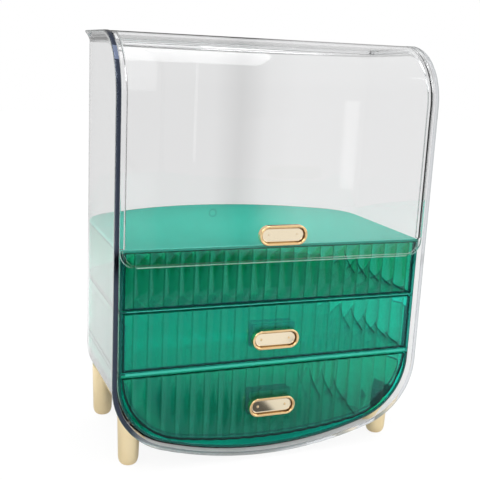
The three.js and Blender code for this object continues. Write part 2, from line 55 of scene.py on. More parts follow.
# Sizes that several pieces share
CASE_FRONT = -102.15 * MM
CASE_TOP = 383.0 * MM
CASE_BEND = 54.0 * MM
CABINET_FRONT = -98.15 * MM
LID_HALF_WIDTH = 145.2 * MM
LID_FOOT = 189.0 * MM
LID_CORNER = 15.0 * MM
LID_THICKNESS = 2.5 * MM
FRONT_HALF_WIDTH = 140.2 * MM
UPPER_FRONT = (151.7 * MM, 202.2 * MM)
MIDDLE_FRONT = (96.2 * MM, 148.5 * MM)
LOWER_FRONT = (20.0 * MM, 90.4 * MM)
LID_FACE = -101.85 * MM
LID_PULL_HEIGHT = 214.7 * MM
MIDDLE_PULL_HEIGHT = 117.4 * MM
LOWER_PULL_HEIGHT = 52.6 * MM
FIRST_GROOVE = -130.9 * MM
REED_PITCH = 13.27 * MM
GAP = 0.3 * MM
EDGE = 0.5 * MM
TUB_FLANK = 1.2 * MM
TUB_BEND = 1.6 * MM
TUB_STEPS = 3

Points = list[Vector]
Rows = list[Points]
Pair = tuple[float, float]
Section = list[Pair]
Colour = tuple[float, float, float]
# An arc's first and last angle in degrees, and its steps
Sweep = tuple[float, float, int]
# A level, and how far past it the step ends
Step = Pair
# Where a band starts, how far on it is full, where it ends, and how far before that it is full
Band = tuple[float, float, float, float]


class Slot(Enum):
    """The record's material slots."""

    CLEAR = "clear_plastic"
    GREEN = "green_plastic"
    GOLD = "gold_metal"
    CHAMPAGNE = "champagne_metal"
    STEEL = "steel"


class Body(Enum):
    """The record's moving bodies."""

    CASE = "case"
    LID = "lid"
    MIDDLE = "middle_drawer"
    LOWER = "lower_drawer"


# Shader expressions


class Sock:
    """A shader output that takes part in Python expressions."""

    def __init__(self, recipe: "Recipe", output: bpy.types.NodeSocket) -> None:
        """Keeps the recipe that new Math nodes go to, and the output."""
        self.recipe = recipe
        self.output = output

    def _join(self, operation: str, first: Any, second: Any = 0.0) -> "Sock":
        """The output of a new Math node on numbers or Socks."""
        return self.recipe.node("ShaderNodeMath", {"operation": operation}, {0: first, 1: second})

    def __add__(self, other: Any) -> "Sock":
        """Sum."""
        return self._join("ADD", self, other)

    def __radd__(self, other: Any) -> "Sock":
        """Sum with a number in front."""
        return self._join("ADD", other, self)

    def __sub__(self, other: Any) -> "Sock":
        """Difference."""
        return self._join("SUBTRACT", self, other)

    def __rsub__(self, other: Any) -> "Sock":
        """Difference with a number in front."""
        return self._join("SUBTRACT", other, self)

    def __mul__(self, other: Any) -> "Sock":
        """Product."""
        return self._join("MULTIPLY", self, other)

    def __rmul__(self, other: Any) -> "Sock":
        """Product with a number in front."""
        return self._join("MULTIPLY", other, self)

    def __truediv__(self, other: Any) -> "Sock":
        """Quotient."""
        return self._join("DIVIDE", self, other)

    def __rtruediv__(self, other: Any) -> "Sock":
        """Quotient of a number."""
        return self._join("DIVIDE", other, self)

    def clamped(self, low: float = 0.0, high: float = 1.0) -> "Sock":
        """Held between two numbers."""
        limits = {"Value": self, "Min": low, "Max": high}
        return self.recipe.node("ShaderNodeClamp", {}, limits, "Result")

    def size(self) -> "Sock":
        """The value without its sign."""
        return self._join("ABSOLUTE", self)

    def turn(self) -> "Sock":
        """What is left after whole turns."""
        return self._join("FRACT", self)

    def raised(self, power: float) -> "Sock":
        """A power."""
        return self._join("POWER", self, power)

    def larger(self, other: Any) -> "Sock":
        """The larger of the two."""
        return self._join("MAXIMUM", self, other)

    def reach(self, other: "Sock") -> "Sock":
        """The length of the two taken as the sides of a right angle."""
        return (self * self + other * other).raised(0.5)

    def above(self, level: float, soft: float) -> "Sock":
        """From 0 at a level to 1 a stretch on, or back where the stretch is negative."""
        return ((self - level) / soft).clamped()

    def within(self, low: float, rise: float, high: float, fall: float) -> "Sock":
        """From 0 up to 1 after a low level, and down to 0 again before a high one."""
        return self.above(low, rise) * self.above(high, -fall)

    def ridge(self, centre: float, width: float, top: float = 1.0) -> "Sock":
        """From 0 up to 1 at a centre and down again, or up to a lower flat top."""
        return (1.0 - ((self - centre) / width).size()).clamped(0.0, top)


class Recipe:
    """The node tree of one material or of the world."""

    def __init__(self, owner: bpy.types.ID) -> None:
        """Empties the owner's node tree.

        Args:
            owner: A material or a world.
        """
        self.owner = owner
        owner.use_nodes = True
        self.tree = owner.node_tree
        self.tree.nodes.clear()

    def node(
        self,
        kind: str,
        settings: dict[str, Any],
        inputs: dict[Any, Any],
        output: str | int = 0,
    ) -> Sock:
        """Adds one node.

        Args:
            kind: The node's type.
            settings: Its properties, which are set first.
            inputs: Values or Socks by the input's name or number.
            output: The output that is wanted.

        Returns:
            That output.
        """
        made = self.tree.nodes.new(kind)
        for name, value in settings.items():
            setattr(made, name, value)
        for name, value in inputs.items():
            if isinstance(value, Sock):
                self.tree.links.new(value.output, made.inputs[name])
            else:
                made.inputs[name].default_value = value
        return Sock(self, made.outputs[output] if len(made.outputs) else None)

    def axes(self, kind: str = "Object") -> tuple[Sock, ...]:
        """The coordinates of a place.

        Args:
            kind: The output of the Texture Coordinate node.

        Returns:
            X, Y and Z.
        """
        place = self.node("ShaderNodeTexCoord", {}, {}, kind)
        parts = self.node("ShaderNodeSeparateXYZ", {}, {0: place})
        return tuple(Sock(self, part) for part in parts.output.node.outputs)

    def mark(self, name: str) -> Sock:
        """An attribute that the mesh carries."""
        return self.node("ShaderNodeAttribute", {"attribute_name": name}, {}, "Fac")

    def rays(self) -> tuple[Sock, Sock]:
        """Whether the camera looks here, and whether a reflection or a ray through plastic does.

        Returns:
            Both, as 1 or 0.
        """
        path = self.node("ShaderNodeLightPath", {}, {}).output.node.outputs
        seen, glossy, through = (
            Sock(self, path[f"Is {kind} Ray"]) for kind in ("Camera", "Glossy", "Transmission")
        )
        return seen, glossy.larger(through)

    def noise(self, scale: float, detail: float = 2.0, stretch: Colour = (1, 1, 1)) -> Sock:
        """A noise over the object.

        Args:
            scale: Its scale, per metre.
            detail: Its detail.
            stretch: Factors along X, Y and Z.

        Returns:
            Its value.
        """
        place = self.node("ShaderNodeTexCoord", {}, {}, "Object")
        mapped = self.node("ShaderNodeMapping", {}, {"Vector": place, "Scale": stretch})
        inputs = {"Vector": mapped, "Scale": scale, "Detail": detail}
        return self.node("ShaderNodeTexNoise", {}, inputs)

    def blend(self, share: Sock, first: Any, second: Any) -> Sock:
        """Two colours, mixed.

        Args:
            share: The second colour's share.
            first: A Sock or three numbers.
            second: A Sock or three numbers.

        Returns:
            The colour.
        """
        colours = [c if isinstance(c, Sock) else (*c, 1.0) for c in (first, second)]
        inputs = {0: share, **dict(zip(MIX_COLOURS, colours))}
        return self.node("ShaderNodeMix", {"data_type": "RGBA"}, inputs, MIX_RESULT)

    def coats(self, colour: Any, *coats: tuple[Sock, Any]) -> Sock:
        """A colour under others.

        Args:
            colour: The lowest colour, a Sock or three numbers.
            coats: A share and a colour for each of the others, from below.

        Returns:
            The colour that is seen.
        """
        for share, coat in coats:
            colour = self.blend(share, colour, coat)
        return colour

    def grey(self, value: Sock) -> Sock:
        """A grey colour of one value."""
        channels = dict.fromkeys(("Red", "Green", "Blue"), value)
        return self.node("ShaderNodeCombineColor", {}, channels)

    def bump(self, height: Sock, strength: float, depth: float) -> Sock:
        """The normal of a height of some depth, in metres."""
        inputs = {"Height": height, "Strength": strength, "Distance": depth}
        return self.node("ShaderNodeBump", {}, inputs)

    def finish(self, surface: dict[str, Any], **others: Sock) -> bpy.types.Material:
        """Ends a material.

        Args:
            surface: The inputs of its Principled shader.
            others: Its volume, where it has one.

        Returns:
            The material.
        """
        shader = self.node("ShaderNodeBsdfPrincipled", {}, surface)
        self.node("ShaderNodeOutputMaterial", {}, {"Surface": shader, **others})
        return self.owner


# Finishes


@dataclass(frozen=True)
class Moulded:
    """Clear or tinted moulded plastic, which light goes through."""

    name: str
    tint: Colour
    density: float
    sheen: Colour
    body: Colour = (1.0, 1.0, 1.0)
    clearness: float = 1.0
    edge_colour: Colour = (1.0, 1.0, 1.0)
    # A metallic share on the marked edges: a painted reflection
    painted_mirror: float = 0.0
    ior: float = 1.5
    roughness: float = 0.02
    haze: float = 0.02
    haze_scale: float = 46.0
    haze_detail: float = 3.0
    flow: float = 0.02
    flow_depth: float = 2.0 * MM
    flow_scale: float = 9.0
    flow_stretch: Colour = (1.0, 1.0, 0.35)

    def edge(self, recipe: Recipe) -> Sock | None:
        """Where the cut edges are, if they look different."""
        return None

    def base(self, recipe: Recipe, edge: Sock | None) -> Sock | tuple[float, ...]:
        """The base colour, given where the cut edges are."""
        plain = (*self.body, 1.0)
        return plain if edge is None else recipe.blend(edge, self.body, self.edge_colour)

    def shine(self, recipe: Recipe, edge: Sock | None) -> Sock | float:
        """How much of the light the cut edges throw back, as a painted mirror that stands in for
        light caught inside the plastic.
        """
        return edge * self.painted_mirror if edge and self.painted_mirror else 0.0

    def material(self) -> bpy.types.Material:
        """Makes the material: polished, with faint flow marks and an even tint in its depth.

        Returns:
            The material.
        """
        recipe = Recipe(bpy.data.materials.new(self.name))
        streaks = recipe.noise(self.flow_scale, stretch=self.flow_stretch)
        haze = recipe.noise(self.haze_scale, self.haze_detail)
        edge = self.edge(recipe)
        depth = {"Color": (*self.tint, 1.0), "Density": self.density}
        return recipe.finish(
            {
                "Base Color": self.base(recipe, edge),
                "Metallic": self.shine(recipe, edge),
                "Roughness": self.roughness + haze * self.haze,
                "IOR": self.ior,
                "Specular Tint": (*self.sheen, 1.0),
                "Transmission Weight": self.clearness,
                "Normal": recipe.bump(streaks, self.flow, self.flow_depth),
            },
            Volume=recipe.node("ShaderNodeVolumeAbsorption", {}, depth),
        )


@dataclass(frozen=True)
class RimPlastic(Moulded):
    """Clear plastic whose front face carries a painted highlight, and painted shade on the left."""

    # Painted shade on the left of the front face, and the painted mirror over it
    painted_rim_shade: Colour = (0.05, 0.062, 0.095)
    left_shade_mirror: float = 0.8
    # A painted dark line along the outer edge, and its strength
    outline: Colour = (0.20, 0.32, 0.27)
    outline_shade_share: float = 0.6
    below_bend: Step = (318.0 * MM, -25.0 * MM)
    # The mark's level for the painted highlight; higher levels carry the painted shade
    pale_mark: float = 0.5
    face_mark: str = "rim_face"
    outer_mark: str = "rim_edge"

    def edge(self, recipe: Recipe) -> Sock:
        """The front face, whose mark is a half where it has the painted highlight and more where it
        has the painted shade.
        """
        return (recipe.mark(self.face_mark) / self.pale_mark).clamped()

    def left_shade(self, recipe: Recipe) -> Sock:
        """The part of the front face with the painted shade."""
        return recipe.mark(self.face_mark).above(self.pale_mark, 1.0 - self.pale_mark)

    def base(self, recipe: Recipe, edge: Sock | None) -> Sock:
        """The base colour: the painted highlight or the painted shade on the front face, and a
        painted dark line along its outer edge.

        Args:
            recipe: The material's recipe.
            edge: The front face.

        Returns:
            The colour.
        """
        outer = recipe.mark(self.outer_mark) * self.outline_shade_share
        left_shade = (self.left_shade(recipe), self.painted_rim_shade)
        return recipe.coats(self.body, (edge, self.edge_colour), left_shade, (outer, self.outline))

    def shine(self, recipe: Recipe, edge: Sock | None) -> Sock:
        """How much of the light the front face throws back, as a painted mirror over the painted
        highlight and the painted shade: less over the bend.

        Args:
            recipe: The material's recipe.
            edge: The front face.

        Returns:
            The share.
        """
        _, _, z = recipe.axes()
        left_shade = self.left_shade(recipe)
        painted_highlight = edge * z.above(*self.below_bend) * (1.0 - left_shade)
        return painted_highlight * self.painted_mirror + left_shade * self.left_shade_mirror


@dataclass(frozen=True)
class FrontLitPlastic(Moulded):
    """Tinted plastic whose front edges shine with a painted reflection: an edge colour and a
    painted mirror.
    """

    face: Step = (-97.95 * MM, -0.12 * MM)
    lower_strip: Band = (93.0 * MM, 0.3 * MM, 95.4 * MM, 0.3 * MM)
    upper_strip: Band = (150.2 * MM, 0.3 * MM, 151.1 * MM, 0.3 * MM)
    between_walls: Band = (-138.0 * MM, 1.0 * MM, 140.6 * MM, 0.3 * MM)
    right_wall: Step = (140.6 * MM, 0.3 * MM)
    wall_foot: Step = (90.9 * MM, 0.2 * MM)
    wall_share: float = 0.35

    def edge(self, recipe: Recipe) -> Sock:
        """Where the painted reflection goes: the dividers' front edges, and faintly the right
        wall's.

        Args:
            recipe: The material's recipe.

        Returns:
            Their share.
        """
        x, y, z = recipe.axes()
        strips = z.within(*self.lower_strip) + z.within(*self.upper_strip)
        right = x.above(*self.right_wall) * z.above(*self.wall_foot) * self.wall_share
        return y.above(*self.face) * (strips * x.within(*self.between_walls) + right)


@dataclass(frozen=True)
class ShelfPlastic(Moulded):
    """Milky plastic with painted shade along its front and rear edges."""

    front: Step = (-96.9 * MM, -0.5 * MM)
    rear_radius: float = 215.4 * MM
    rear_centre: float = -114.15 * MM
    rear_line: Step = (5.0 * MM, -1.5 * MM)
    rear_half: Step = (100.0 * MM, 20.0 * MM)
    rear_share: float = 0.5

    def edge(self, recipe: Recipe) -> Sock:
        """Where the painted shade goes: the front edge, and a line along the bowed rear edge.

        Args:
            recipe: The material's recipe.

        Returns:
            Their share.
        """
        x, y, _ = recipe.axes()
        along = y - self.rear_centre
        inset = self.rear_radius - x.reach(along)
        line = inset.above(*self.rear_line) * along.above(*self.rear_half)
        return y.above(*self.front).larger(line * self.rear_share)


@dataclass(frozen=True)
class LidPlastic(Moulded):
    """Clear plastic with two painted highlight lines along the lid's lower edge and corners."""

    # The two painted highlight lines, which stand in for light caught in the sheet's edge
    line: Step = (1.0 * MM, -0.3 * MM)
    second_line: tuple[float, float, float] = (2.7 * MM, 0.5 * MM, 0.45)
    line_rise: float = 2.0 * MM
    gate: Pair = (-65.0 * MM, 235.4 * MM)
    gate_ring: Step = (3.1 * MM, 0.8 * MM)
    gate_side: Step = (-90.0 * MM, -5.0 * MM)
    gate_share: float = 0.6
    gate_colour: Colour = (0.50, 0.62, 0.60)

    def base(self, recipe: Recipe, edge: Sock | None) -> Sock:
        """The base colour, with the round mark of the mould's gate.

        Args:
            recipe: The material's recipe.
            edge: The painted highlight lines along the edge.

        Returns:
            The colour.
        """
        x, y, z = recipe.axes()
        ring = (x - self.gate[0]).reach(z - self.gate[1]).ridge(*self.gate_ring)
        share = ring * y.above(*self.gate_side) * self.gate_share
        return recipe.coats(self.body, (edge, self.edge_colour), (share, self.gate_colour))

    def edge(self, recipe: Recipe) -> Sock:
        """Two painted highlight lines at even distances from the edge.

        Args:
            recipe: The material's recipe.

        Returns:
            Their share.
        """
        x, _, z = recipe.axes()
        aside = (x.size() - (LID_HALF_WIDTH - LID_CORNER)).larger(0.0)
        below = ((LID_FOOT + LID_CORNER) - z).larger(0.0)
        depth = LID_CORNER - aside.reach(below)
        low = z.above(LID_FOOT + LID_CORNER + self.line_rise, -self.line_rise)
        return depth.above(*self.line).larger(depth.ridge(*self.second_line)) * low


@dataclass(frozen=True)
class ReededPlastic(Moulded):
    """Tinted plastic of a reeded front, with painted light and shade: painted highlights on the
    flanks, painted shade in the grooves and along the lower and side edges, and painted lines where
    the side wall shows through.
    """

    low: float = UPPER_FRONT[0]
    top: float = UPPER_FRONT[1]
    # Painted highlight on the flanks and above the painted shade lines
    painted_highlight: Colour = (0.32, 1.0, 0.95)
    shade: Colour = (0.002, 0.42, 0.26)
    # What shows through below the floor line: painted light on the upper front, painted shade on
    # the middle and lower fronts
    below: Colour = (0.14, 0.95, 0.80)
    # Painted shade: the dark wedge, and the lines along the lower, side and top edges
    dark: Colour = (0.0004, 0.001, 0.002)
    floor_line: float = 13.7 * MM
    floor_fade: float = 0.8 * MM
    floor_tilt: float = -0.075
    most_tilt: float = 11.0 * MM
    # The painted highlight on each reed's flank
    flank_share: float = 0.50
    flank_rate: float = 1.6
    flank_range: Pair = (0.28, 0.75)
    flank_start: Step = (0.0, 0.04)
    flank_soft: float = 0.08
    flank_lean: float = 0.8
    glint: float = 0.8
    taper: float = 0.0
    taper_run: float = 30.0 * MM
    crest: float = 190.0 * MM
    crest_run: float = 13.0 * MM
    # Painted shade in the grooves
    groove_start: Step = (0.86, 0.10)
    groove_end: Step = (0.03, -0.03)
    groove_share: float = 0.75
    # Painted shade lines where the side wall shows through, with a painted shade veil under them
    # and painted light above
    blade_start: Pair = (91.6 * MM, 182.8 * MM)
    blade_slope: float = 0.645
    blade_bow: float = 0.0
    blade_drop: float = 17.4 * MM
    blade_ease: float = 0.29
    least_drop: float = 4.0 * MM
    blade_bend: float = 0.7
    blade_line: Band = (-2.6 * MM, 1.4 * MM, 0.5 * MM, 0.5 * MM)
    blade_veil: Band = (-10.0 * MM, 10.0 * MM, 0.5 * MM, 0.5 * MM)
    veil_share: float = 0.5
    blade_root: float = 0.7
    blade_first: Step = (-44.0 * MM, 10.0 * MM)
    blade_shift: float = 0.77
    blade_share: float = 1.0
    blade_shade_colour: Colour = (0.0006, 0.05, 0.037)
    lit_start: Step = (0.0, 2.0 * MM)
    lit_share: float = 0.0
    # The painted shade of the dark wedge
    wedge: Pair | None = None
    wedge_size: Pair = (17.0 * MM, 6.5 * MM)
    wedge_heading: Pair = (0.62, 0.78)
    wedge_reach: float = 1.1
    wedge_ragged: float = 0.8
    wedge_edge: Step = (0.0, 0.35)
    wedge_share: float = 0.9
    boss: Step = (-94.4 * MM, 0.3 * MM)
    boss_shade: Colour = (0.002, 0.30, 0.13)
    # Painted shade along the lower, side and top edges
    foot_line: Step = (1.9 * MM, -0.3 * MM)
    side_line: Step = (138.7 * MM, 0.3 * MM)
    head_line: Step = (-0.8 * MM, 0.2 * MM)
    head_share: float = 0.8
    rise_mark: str = "rise"

    def painted_blades(self, x: Sock, z: Sock) -> tuple[Sock, Sock]:
        """Painted shade: dark curved lines, one to a reed on the right, where the side wall shows
        through, with painted light above them.

        Args:
            x: The place across.
            z: The height.

        Returns:
            Their share, and the share of the painted light over them.
        """
        phase = ((x - FIRST_GROOVE) / REED_PITCH - self.blade_shift).turn()
        start = x - phase * REED_PITCH - self.blade_start[0]
        past = start.larger(0.0)
        level = self.blade_start[1] - start * self.blade_slope - past * past * self.blade_bow
        drop = (self.blade_drop - start * self.blade_ease).larger(self.least_drop)
        above = z - level + phase.raised(self.blade_bend) * drop
        # A painted shade veil just under each line
        veil = above.within(*self.blade_veil) * self.veil_share
        shown = start.above(*self.blade_first)
        weight = (phase * (1.0 - self.blade_root) + self.blade_root) * shown
        line = above.within(*self.blade_line).larger(veil)
        return line * weight, above.above(*self.lit_start) * shown

    def shadow(self, x: Sock, z: Sock, phase: Sock) -> Sock:
        """Painted shade: a dark wedge low on the right, where the foot's fixing shows through.

        Args:
            x: The place across.
            z: The height.
            phase: The place in the reed, from 0 to 1.

        Returns:
            Its share.
        """
        aside = x - self.wedge[0]
        rise = z - self.wedge[1]
        across, up = self.wedge_heading
        along = (aside * across + rise * up) / self.wedge_size[0]
        athwart = (aside * up - rise * across) / self.wedge_size[1]
        reach = along * along + athwart * athwart
        inside = self.wedge_reach - reach + (0.5 - phase) * self.wedge_ragged
        return inside.above(*self.wedge_edge)

    def flank(self, x: Sock, z: Sock) -> Sock:
        """The painted highlight on each reed's flank: wider to the right, leaning low down, and
        tapered.

        Args:
            x: The place across.
            z: The height.

        Returns:
            Its share.
        """
        start = self.low + self.floor_line
        reach = (self.flank_share + x * self.flank_rate).clamped(*self.flank_range)
        if self.taper:
            reach = reach - z.above(start, self.taper_run) * self.taper
            reach = reach.larger((z - self.crest) / self.crest_run)
        lean = (z - start).clamped(-self.floor_line, 0.0) * self.flank_lean
        stripe = ((x - FIRST_GROOVE - lean) / REED_PITCH).turn()
        return ((reach - stripe) / self.flank_soft).clamped() * stripe.above(*self.flank_start)

    def base(self, recipe: Recipe, edge: Sock | None) -> Sock:
        """The base colour, with its painted light and shade.

        Args:
            recipe: The material's recipe.
            edge: Not used: the edges come from the mesh's own height.

        Returns:
            The colour.
        """
        x, y, z = recipe.axes()
        phase = ((x - FIRST_GROOVE) / REED_PITCH).turn()
        groove = phase.above(*self.groove_start).larger(phase.above(*self.groove_end))
        tilt = (x * self.floor_tilt).clamped(0.0, self.most_tilt)
        above_floor = z - self.low - self.floor_line - (phase - 0.5) * tilt
        floor = above_floor.above(self.floor_fade / 2.0, -self.floor_fade)
        painted_blades, lit = self.painted_blades(x, z)
        foot = recipe.mark(self.rise_mark).above(*self.foot_line)
        head = (z - self.top).above(*self.head_line) * self.head_share
        # Painted light and shade over the body, layer by layer
        coats = [
            (floor, self.below),
            (self.flank(x, z) * self.glint, self.painted_highlight),
            (groove * self.groove_share, self.shade),
            (lit * self.lit_share, self.painted_highlight),
            (painted_blades * self.blade_share, self.blade_shade_colour),
        ]
        # The painted shade of the dark wedge
        if self.wedge:
            coats.append((self.shadow(x, z, phase) * self.wedge_share, self.dark))
        coats.append((y.above(*self.boss), self.boss_shade))
        # Painted shade along the lower, side and top edges
        coats.append((foot.larger(x.size().above(*self.side_line)).larger(head), self.dark))
        return recipe.coats(self.body, *coats)


@dataclass(frozen=True)
class Metal:
    """Polished, anodised or ground metal."""

    name: str
    colour: Colour
    deep: Colour
    roughness: float
    spread: float
    grain: float
    grain_scale: float = 900.0
    grain_depth: float = 0.1 * MM
    tone_scale: float = 60.0
    tone_detail: float = 3.0

    def tone(self, recipe: Recipe) -> Sock:
        """The colour over the surface."""
        return recipe.blend(recipe.noise(self.tone_scale, self.tone_detail), self.colour, self.deep)

    def material(self) -> bpy.types.Material:
        """Makes the material: a slight change of tone, of gloss and of surface.

        Returns:
            The material.
        """
        recipe = Recipe(bpy.data.materials.new(self.name))
        fine = recipe.noise(self.grain_scale)
        return recipe.finish(
            {
                "Base Color": self.tone(recipe),
                "Metallic": 1.0,
                "Roughness": self.roughness + fine * self.spread,
                "Normal": recipe.bump(fine, self.grain, self.grain_depth),
            }
        )


@dataclass(frozen=True)
class PullMetal(Metal):
    """Polished gold plate with painted light and shade: deeper on the rim, a painted reflection in
    the dish, and painted brown shade in the hollow between, darker at the ends.
    """

    # A painted reflection on the dish's floor, and painted shade in the hollow, deeper towards the
    # ends
    dish: Colour = (0.90, 0.78, 0.58)
    painted_crease_shade: Colour = (0.12, 0.055, 0.02)
    crease_shade_share: float = 0.45
    end_share: float = 0.5
    ends: Step = (11.0 * MM, 7.0 * MM)
    floor_mark: str = "dish_floor"
    hollow_mark: str = "dish_hollow"

    def tone(self, recipe: Recipe) -> Sock:
        """The colour over the surface, with the painted reflection in the dish and the painted
        shade in the hollow.

        Args:
            recipe: The material's recipe.

        Returns:
            The colour.
        """
        x, _, _ = recipe.axes()
        plain = super().tone(recipe)
        depth = self.crease_shade_share + x.size().above(*self.ends) * self.end_share
        hollow = recipe.mark(self.hollow_mark) * depth
        return recipe.coats(plain, (recipe.mark(self.floor_mark), self.dish), (hollow, self.painted_crease_shade))


@dataclass(frozen=True)
class StudioWall:
    """The tones that reflections see round the object: a wall with a darker fold, lighter on the
    right; on the floor these are painted shade and painted light.
    """

    fold: Step
    right: Step
    tone: float = 0.93
    fold_depth: float = 0.13
    right_gain: float = 0.07
    strength: float = 0.82

    def shade(self, heading: Sock, more: Sock | float = 0.0) -> tuple[Sock, Sock]:
        """The wall's tone.

        Args:
            heading: The place along the wall.
            more: What is added to its tone.

        Returns:
            The tone, and the share of its right part.
        """
        right = heading.above(*self.right)
        tone = self.tone - heading.ridge(*self.fold) * self.fold_depth + right * self.right_gain
        return (tone + more) * self.strength, right


@dataclass(frozen=True)
class StudioFloor:
    """A white floor that keeps the object's shadow, with painted shade and light where reflections
    and views through the plastic see it.
    """

    name: str = "studio_floor"
    albedo: float = 0.55
    seen_albedo: float = 0.12
    seen_glow: float = 0.9
    shown_glow: float = 0.25
    # Where the painted dark gap in front begins and ends
    paper_end: float = -0.70
    paper_from: float = -0.05
    paper_turn: float = 2.2
    paper_soft: float = -0.12
    gap_end: float = -0.95
    gap_from: float = 0.2
    gap_turn: float = 0.5
    gap_most: float = 0.12
    gap_soft: float = 0.06
    gap_depth: float = 0.92
    # Two painted shadows in front, which the pulls mirror
    patch: tuple[Band, Band] = ((-0.05, 0.03, 0.05, 0.006), (-0.27, 0.03, -0.16, 0.02))
    spot: tuple[Band, Band] = ((0.153, 0.006, 0.20, 0.01), (-0.405, 0.006, -0.35, 0.01))
    patch_depth: float = 0.88
    # The painted shade of a fold and the painted light on the right, fanned from this point
    fan_centre: Pair = (-0.3, -0.76)
    wall: StudioWall = StudioWall(fold=(0.384, 0.034), right=(0.4, 0.055))
    # Painted light behind on the left, and painted shade behind in the middle
    left: Step = (0.2, -0.08)
    far: Step = (0.6, 0.5)
    behind: Step = (0.0, 0.1)
    behind_depth: float = 0.15
    left_gain: float = 0.25
    roughness: float = 0.9
    tooth: float = 0.05
    tooth_scale: float = 700.0

    def paper(self, x: Sock, y: Sock) -> Sock:
        """The painted shade of the paper in front: a dark gap, and two dark patches, painted
        shadows that the pulls mirror.

        Args:
            x: The place across.
            y: The place along Y.

        Returns:
            The tone.
        """
        paper_end = self.paper_end + (x - self.paper_from).clamped(-1.0, 0.0) * self.paper_turn
        gap_end = ((x - self.gap_from) * self.gap_turn).clamped(0.0, self.gap_most) + self.gap_end
        gap = (y - paper_end).above(0.0, self.paper_soft) * (y - gap_end).above(0.0, self.gap_soft)
        patch, spot = (
            x.within(*aside) * y.within(*along) for aside, along in (self.patch, self.spot)
        )
        return (1.0 - gap * self.gap_depth) * (1.0 - patch.larger(spot) * self.patch_depth)

    def material(self) -> bpy.types.Material:
        """Makes the material: white paper, whose white is even where it is seen, and which shows
        painted shade and light where it is mirrored or seen through plastic.

        Returns:
            The material.
        """
        recipe = Recipe(bpy.data.materials.new(self.name))
        seen, shown = recipe.rays()
        x, y, _ = recipe.axes()
        heading = (x - self.fan_centre[0]) / (y.larger(0.0) - self.fan_centre[1])
        wall, right = self.wall.shade(heading)
        far = y.above(*self.far)
        behind = y.above(*self.behind)
        left = heading.above(*self.left)
        # Painted shade behind in the middle, and painted light behind on the left
        middle = behind * (1.0 - right) * (1.0 - left)
        tone = self.paper(x, y) * (1.0 - middle * self.behind_depth)
        tone = tone * (1.0 + behind * left * self.left_gain)
        near = tone * (1.0 - far)
        shade = (1.0 - seen) * near * self.albedo + seen * self.seen_albedo
        glow = seen * self.seen_glow + shown * (near * self.shown_glow + far * wall)
        return recipe.finish(
            {
                "Base Color": recipe.grey(shade),
                "Roughness": self.roughness + recipe.noise(self.tooth_scale) * self.tooth,
                "Specular IOR Level": 0.0,
                "Emission Color": recipe.grey(glow),
                "Emission Strength": 1.0,
            }
        )


CLEAR_STOCK: dict[str, Any] = {
    "tint": (0.22, 0.29, 0.40), "density": 6.0, "sheen": (0.45, 0.45, 0.45),
}
CLEAR = Moulded("clear_plastic", **CLEAR_STOCK)
# The case's edge colour and mirror are a painted highlight on the rim's front face
CASE_CLEAR = RimPlastic(
    "clear_case_plastic", **CLEAR_STOCK, edge_colour=(0.80, 0.82, 0.86), painted_mirror=0.3
)
# Painted highlight lines along the lid's lower edge, with a painted mirror
LID_CLEAR = LidPlastic(
    "clear_lid_plastic", **CLEAR_STOCK, edge_colour=(0.60, 0.92, 0.84), painted_mirror=0.6
)
GREEN_STOCK: dict[str, Any] = {"tint": (0.0, 0.83, 0.72), "flow": 0.04}
GREEN_SHEEN = (0.30, 0.95, 0.90)
# The dividers' front edges carry a painted reflection: an edge colour and a painted mirror
GREEN = FrontLitPlastic(
    "green_plastic", **GREEN_STOCK, density=300.0, sheen=GREEN_SHEEN,
    body=(0.05, 0.95, 0.80), clearness=0.93, edge_colour=(0.07, 0.62, 0.46), painted_mirror=0.8,
)
DEEP_GREEN = ReededPlastic(
    "deep_green_plastic", **GREEN_STOCK, density=1000.0, sheen=(0.08, 0.95, 0.88),
    body=(0.004, 0.84, 0.54), clearness=0.94, glint=1.0, taper=0.2,
)
MIDDLE_GREEN = ReededPlastic(
    "middle_green_plastic", **GREEN_STOCK, density=60.0, sheen=(0.25, 0.95, 0.90),
    body=(0.02, 1.0, 0.85), below=(0.03, 0.90, 0.76), clearness=0.92,
    low=MIDDLE_FRONT[0], top=MIDDLE_FRONT[1], floor_line=20.6 * MM,
    flank_lean=0.0, glint=0.3, groove_share=0.4, lit_share=0.28,
    blade_start=(78.4 * MM, 140.5 * MM), blade_slope=0.44, blade_bow=5.6,
    blade_drop=22.5 * MM, blade_ease=0.25, blade_first=(-20.0 * MM, 10.0 * MM),
)
LOWER_GREEN = ReededPlastic(
    "lower_green_plastic", **GREEN_STOCK, density=450.0, sheen=GREEN_SHEEN,
    body=(0.04, 0.95, 0.79), below=(0.035, 0.67, 0.55), clearness=0.93,
    low=LOWER_FRONT[0], top=LOWER_FRONT[1], floor_line=45.0 * MM, floor_fade=30.0 * MM,
    flank_lean=0.0, glint=0.45, groove_share=0.55, lit_share=0.3,
    blade_start=(51.8 * MM, 81.7 * MM), blade_slope=0.346, blade_bow=29.5,
    blade_drop=28.0 * MM, blade_first=(-30.0 * MM, 10.0 * MM), blade_share=0.9,
    foot_line=(2.3 * MM, -0.3 * MM), wedge=(118.0 * MM, 45.0 * MM),
)
# The darker edge colour is painted shade along the shelf's front and rear edges
MILKY_GREEN = ShelfPlastic(
    "milky_green_plastic", **GREEN_STOCK, density=480.0, sheen=GREEN_SHEEN,
    body=(0.09, 1.0, 0.76), clearness=0.06, edge_colour=(0.02, 0.42, 0.30),
)
GOLD = PullMetal("gold_metal", (0.90, 0.67, 0.38), (0.85, 0.58, 0.29), 0.07, 0.05, 0.02)
CHAMPAGNE = Metal("champagne_metal", (0.94, 0.80, 0.54), (0.92, 0.74, 0.43), 0.30, 0.08, 0.05)
STEEL = Metal("steel", (0.62, 0.63, 0.65), (0.50, 0.51, 0.53), 0.32, 0.1, 0.2)
STOCK = {
    Slot.CLEAR: CLEAR, Slot.GREEN: GREEN, Slot.GOLD: GOLD, Slot.CHAMPAGNE: CHAMPAGNE,
    Slot.STEEL: STEEL,
}


# Meshes


